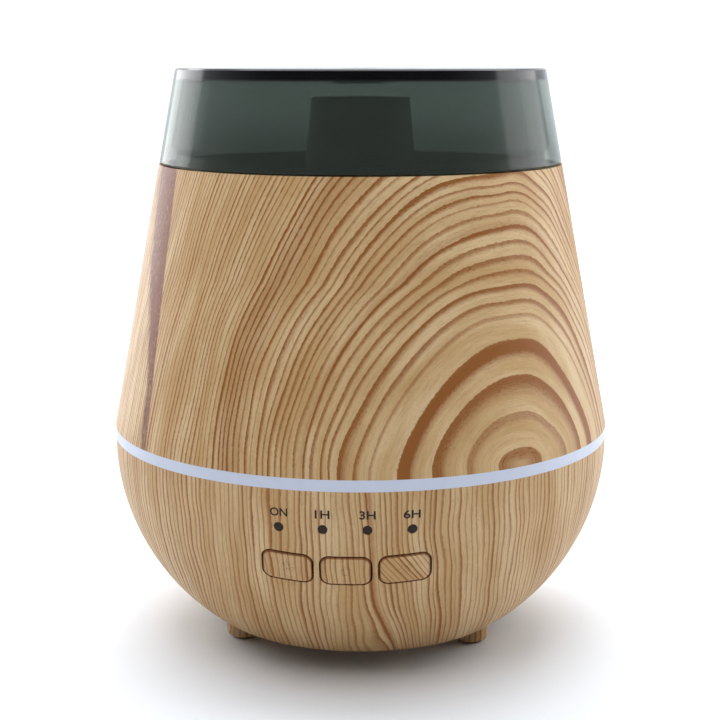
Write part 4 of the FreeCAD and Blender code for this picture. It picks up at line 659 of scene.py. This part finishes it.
SLOTS = {
    "milky_plastic": moulded("milky_plastic", (0.55, 0.59, 0.70), 0.38, 7.0, 0.002, 0.04),
    "white_plastic": moulded("white_plastic", (0.78, 0.79, 0.78), 0.35, 5.0, 0.003, 0.07),
    "dark_plastic": moulded("dark_plastic", (0.020, 0.020, 0.021), 0.46, 6.0, 0.006, 0.3),
    "guard_plastic": guard,
    "clear_plastic": moulded("clear_plastic", (0.022, 0.011, 0.007), 0.2, 6.0, 0.001, Specular_IOR_Level=0.2),
    "rubber_grey": moulded("rubber_grey", (0.032, 0.032, 0.033), 0.66, 3.0, 0.010, 0.25),
    "silicone": moulded("silicone", (0.62, 0.62, 0.60), 0.42, 2.0, 0.004, 0.08, Coat_Weight=0.1),
    "led_case": moulded("led_case", (0.80, 0.78, 0.60), 0.28, 8.0, 0.002, 0.1),
    "chip_black": moulded("chip_black", (0.016, 0.016, 0.017), 0.40, 9.0, 0.006, 0.3),
    "can_blue": moulded("can_blue", (0.018, 0.034, 0.13), 0.24, 2.0, 0.001, 0.15, Coat_Weight=0.4),
    "lead_sheath": moulded("lead_sheath", (0.36, 0.018, 0.016), 0.36, 2.5, 0.002, 0.2),
}


# ---------------------------------------------------------------- circuit boards
# Glass-epoxy boards under green solder mask. Copper tracks show paler beneath it, on one pitch along the
# board and a wider one across it, in stretches that stop, with tinned pads here and there.
TRACK_PITCH, CROSS_PITCH, PAD_X, PAD_Y = 1.6, 5.0, 2.5, 3.2
MASK_GREEN, TRACK_GREEN, TINNED = (0.008, 0.085, 0.030), (0.020, 0.165, 0.060), (0.55, 0.55, 0.52)
start, place, finish = material("circuit_board")
x, y, z = split(place)
row, column = (y / TRACK_PITCH).sum("FLOOR"), (x / CROSS_PITCH).sum("FLOOR")
laid = (row * 17.0 + column * 3.7).chance().step(0.40, 0.41)
crossing = (column * 11.0 + (z / 9.0).sum("FLOOR") * 5.0 + 2.0).chance().step(0.55, 0.56)
along = (y / TRACK_PITCH).sum("FRACT").hill(0.5, 0.30).step(0.2, 0.5) * laid
across = (x / CROSS_PITCH).sum("FRACT").hill(0.5, 0.09).step(0.2, 0.5) * crossing
track = along.sum("MAXIMUM", across)
pad_x, pad_y = (x / PAD_X).sum("FRACT") - 0.5, (y / PAD_Y).sum("FRACT") - 0.5
placed = ((x / PAD_X).sum("FLOOR") * 7.0 + (y / PAD_Y).sum("FLOOR") * 13.0).chance().step(0.72, 0.73)
pad = (((pad_x * PAD_X) ** 2.0 + (pad_y * PAD_Y) ** 2.0) ** 0.5).step(0.62, 0.54) * placed
weave = place.noise(3.0, 2.0)
masked = track.mix(MASK_GREEN, TRACK_GREEN)
SLOTS["circuit_board"] = finish(
    relief=track * 0.03 + pad * 0.03 + weave * 0.003, Base_Color=pad.mix(masked, TINNED),
    Metallic=pad, Roughness=weave * 0.14 + 0.24)


# ---------------------------------------------------------------- metals
# Enamelled winding wire in close turns, a sawn and extruded heat sink, turned contacts and the drawn
# steel face of the piezo disc.
def metal(name, colour, rough, lines, depth, vary=0.25):
    """Bare metal: lines(x, y, z) is the value that its tooling marks or turns of wire repeat along."""
    start, place, finish = material(name)
    mark = lines(*split(place))
    tarnish = place.noise(0.35, 4.0, 0.6)
    duller = tuple(c * (1 - vary) for c in colour)
    dullness = (tarnish * 0.7 + mark * -0.3 + 0.3).clamp()
    return finish(relief=mark * depth, Base_Color=dullness.mix(colour, duller), Metallic=1.0,
                  Roughness=tarnish * 0.2 + rough)


def turns(value, pitch):
    """Rounded ridges at a pitch."""
    return (value * (2 * math.pi / pitch)).sum("SINE") * 0.5 + 0.5


SLOTS["copper_wire"] = metal("copper_wire", (0.62, 0.22, 0.075), 0.16,
                             lambda x, y, z: turns(z, 0.5), 0.16)
SLOTS["heat_sink_alu"] = metal("heat_sink_alu", (0.62, 0.63, 0.64), 0.28,
                               lambda x, y, z: turns(z + x * 0.02, 0.35), 0.006)
SLOTS["piezo_steel"] = metal("piezo_steel", (0.62, 0.61, 0.58), 0.2,
                             lambda x, y, z: turns((x ** 2.0 + y ** 2.0) ** 0.5, 0.4), 0.004)
SLOTS["contact_brass"] = metal("contact_brass", (0.72, 0.50, 0.18), 0.18,
                               lambda x, y, z: turns(z + y, 0.3), 0.003)

for part in frame["record"]["subparts"]:
    if part["material_slot"] in SLOTS:
        dress(SLOTS[part["material_slot"]], part["node"])
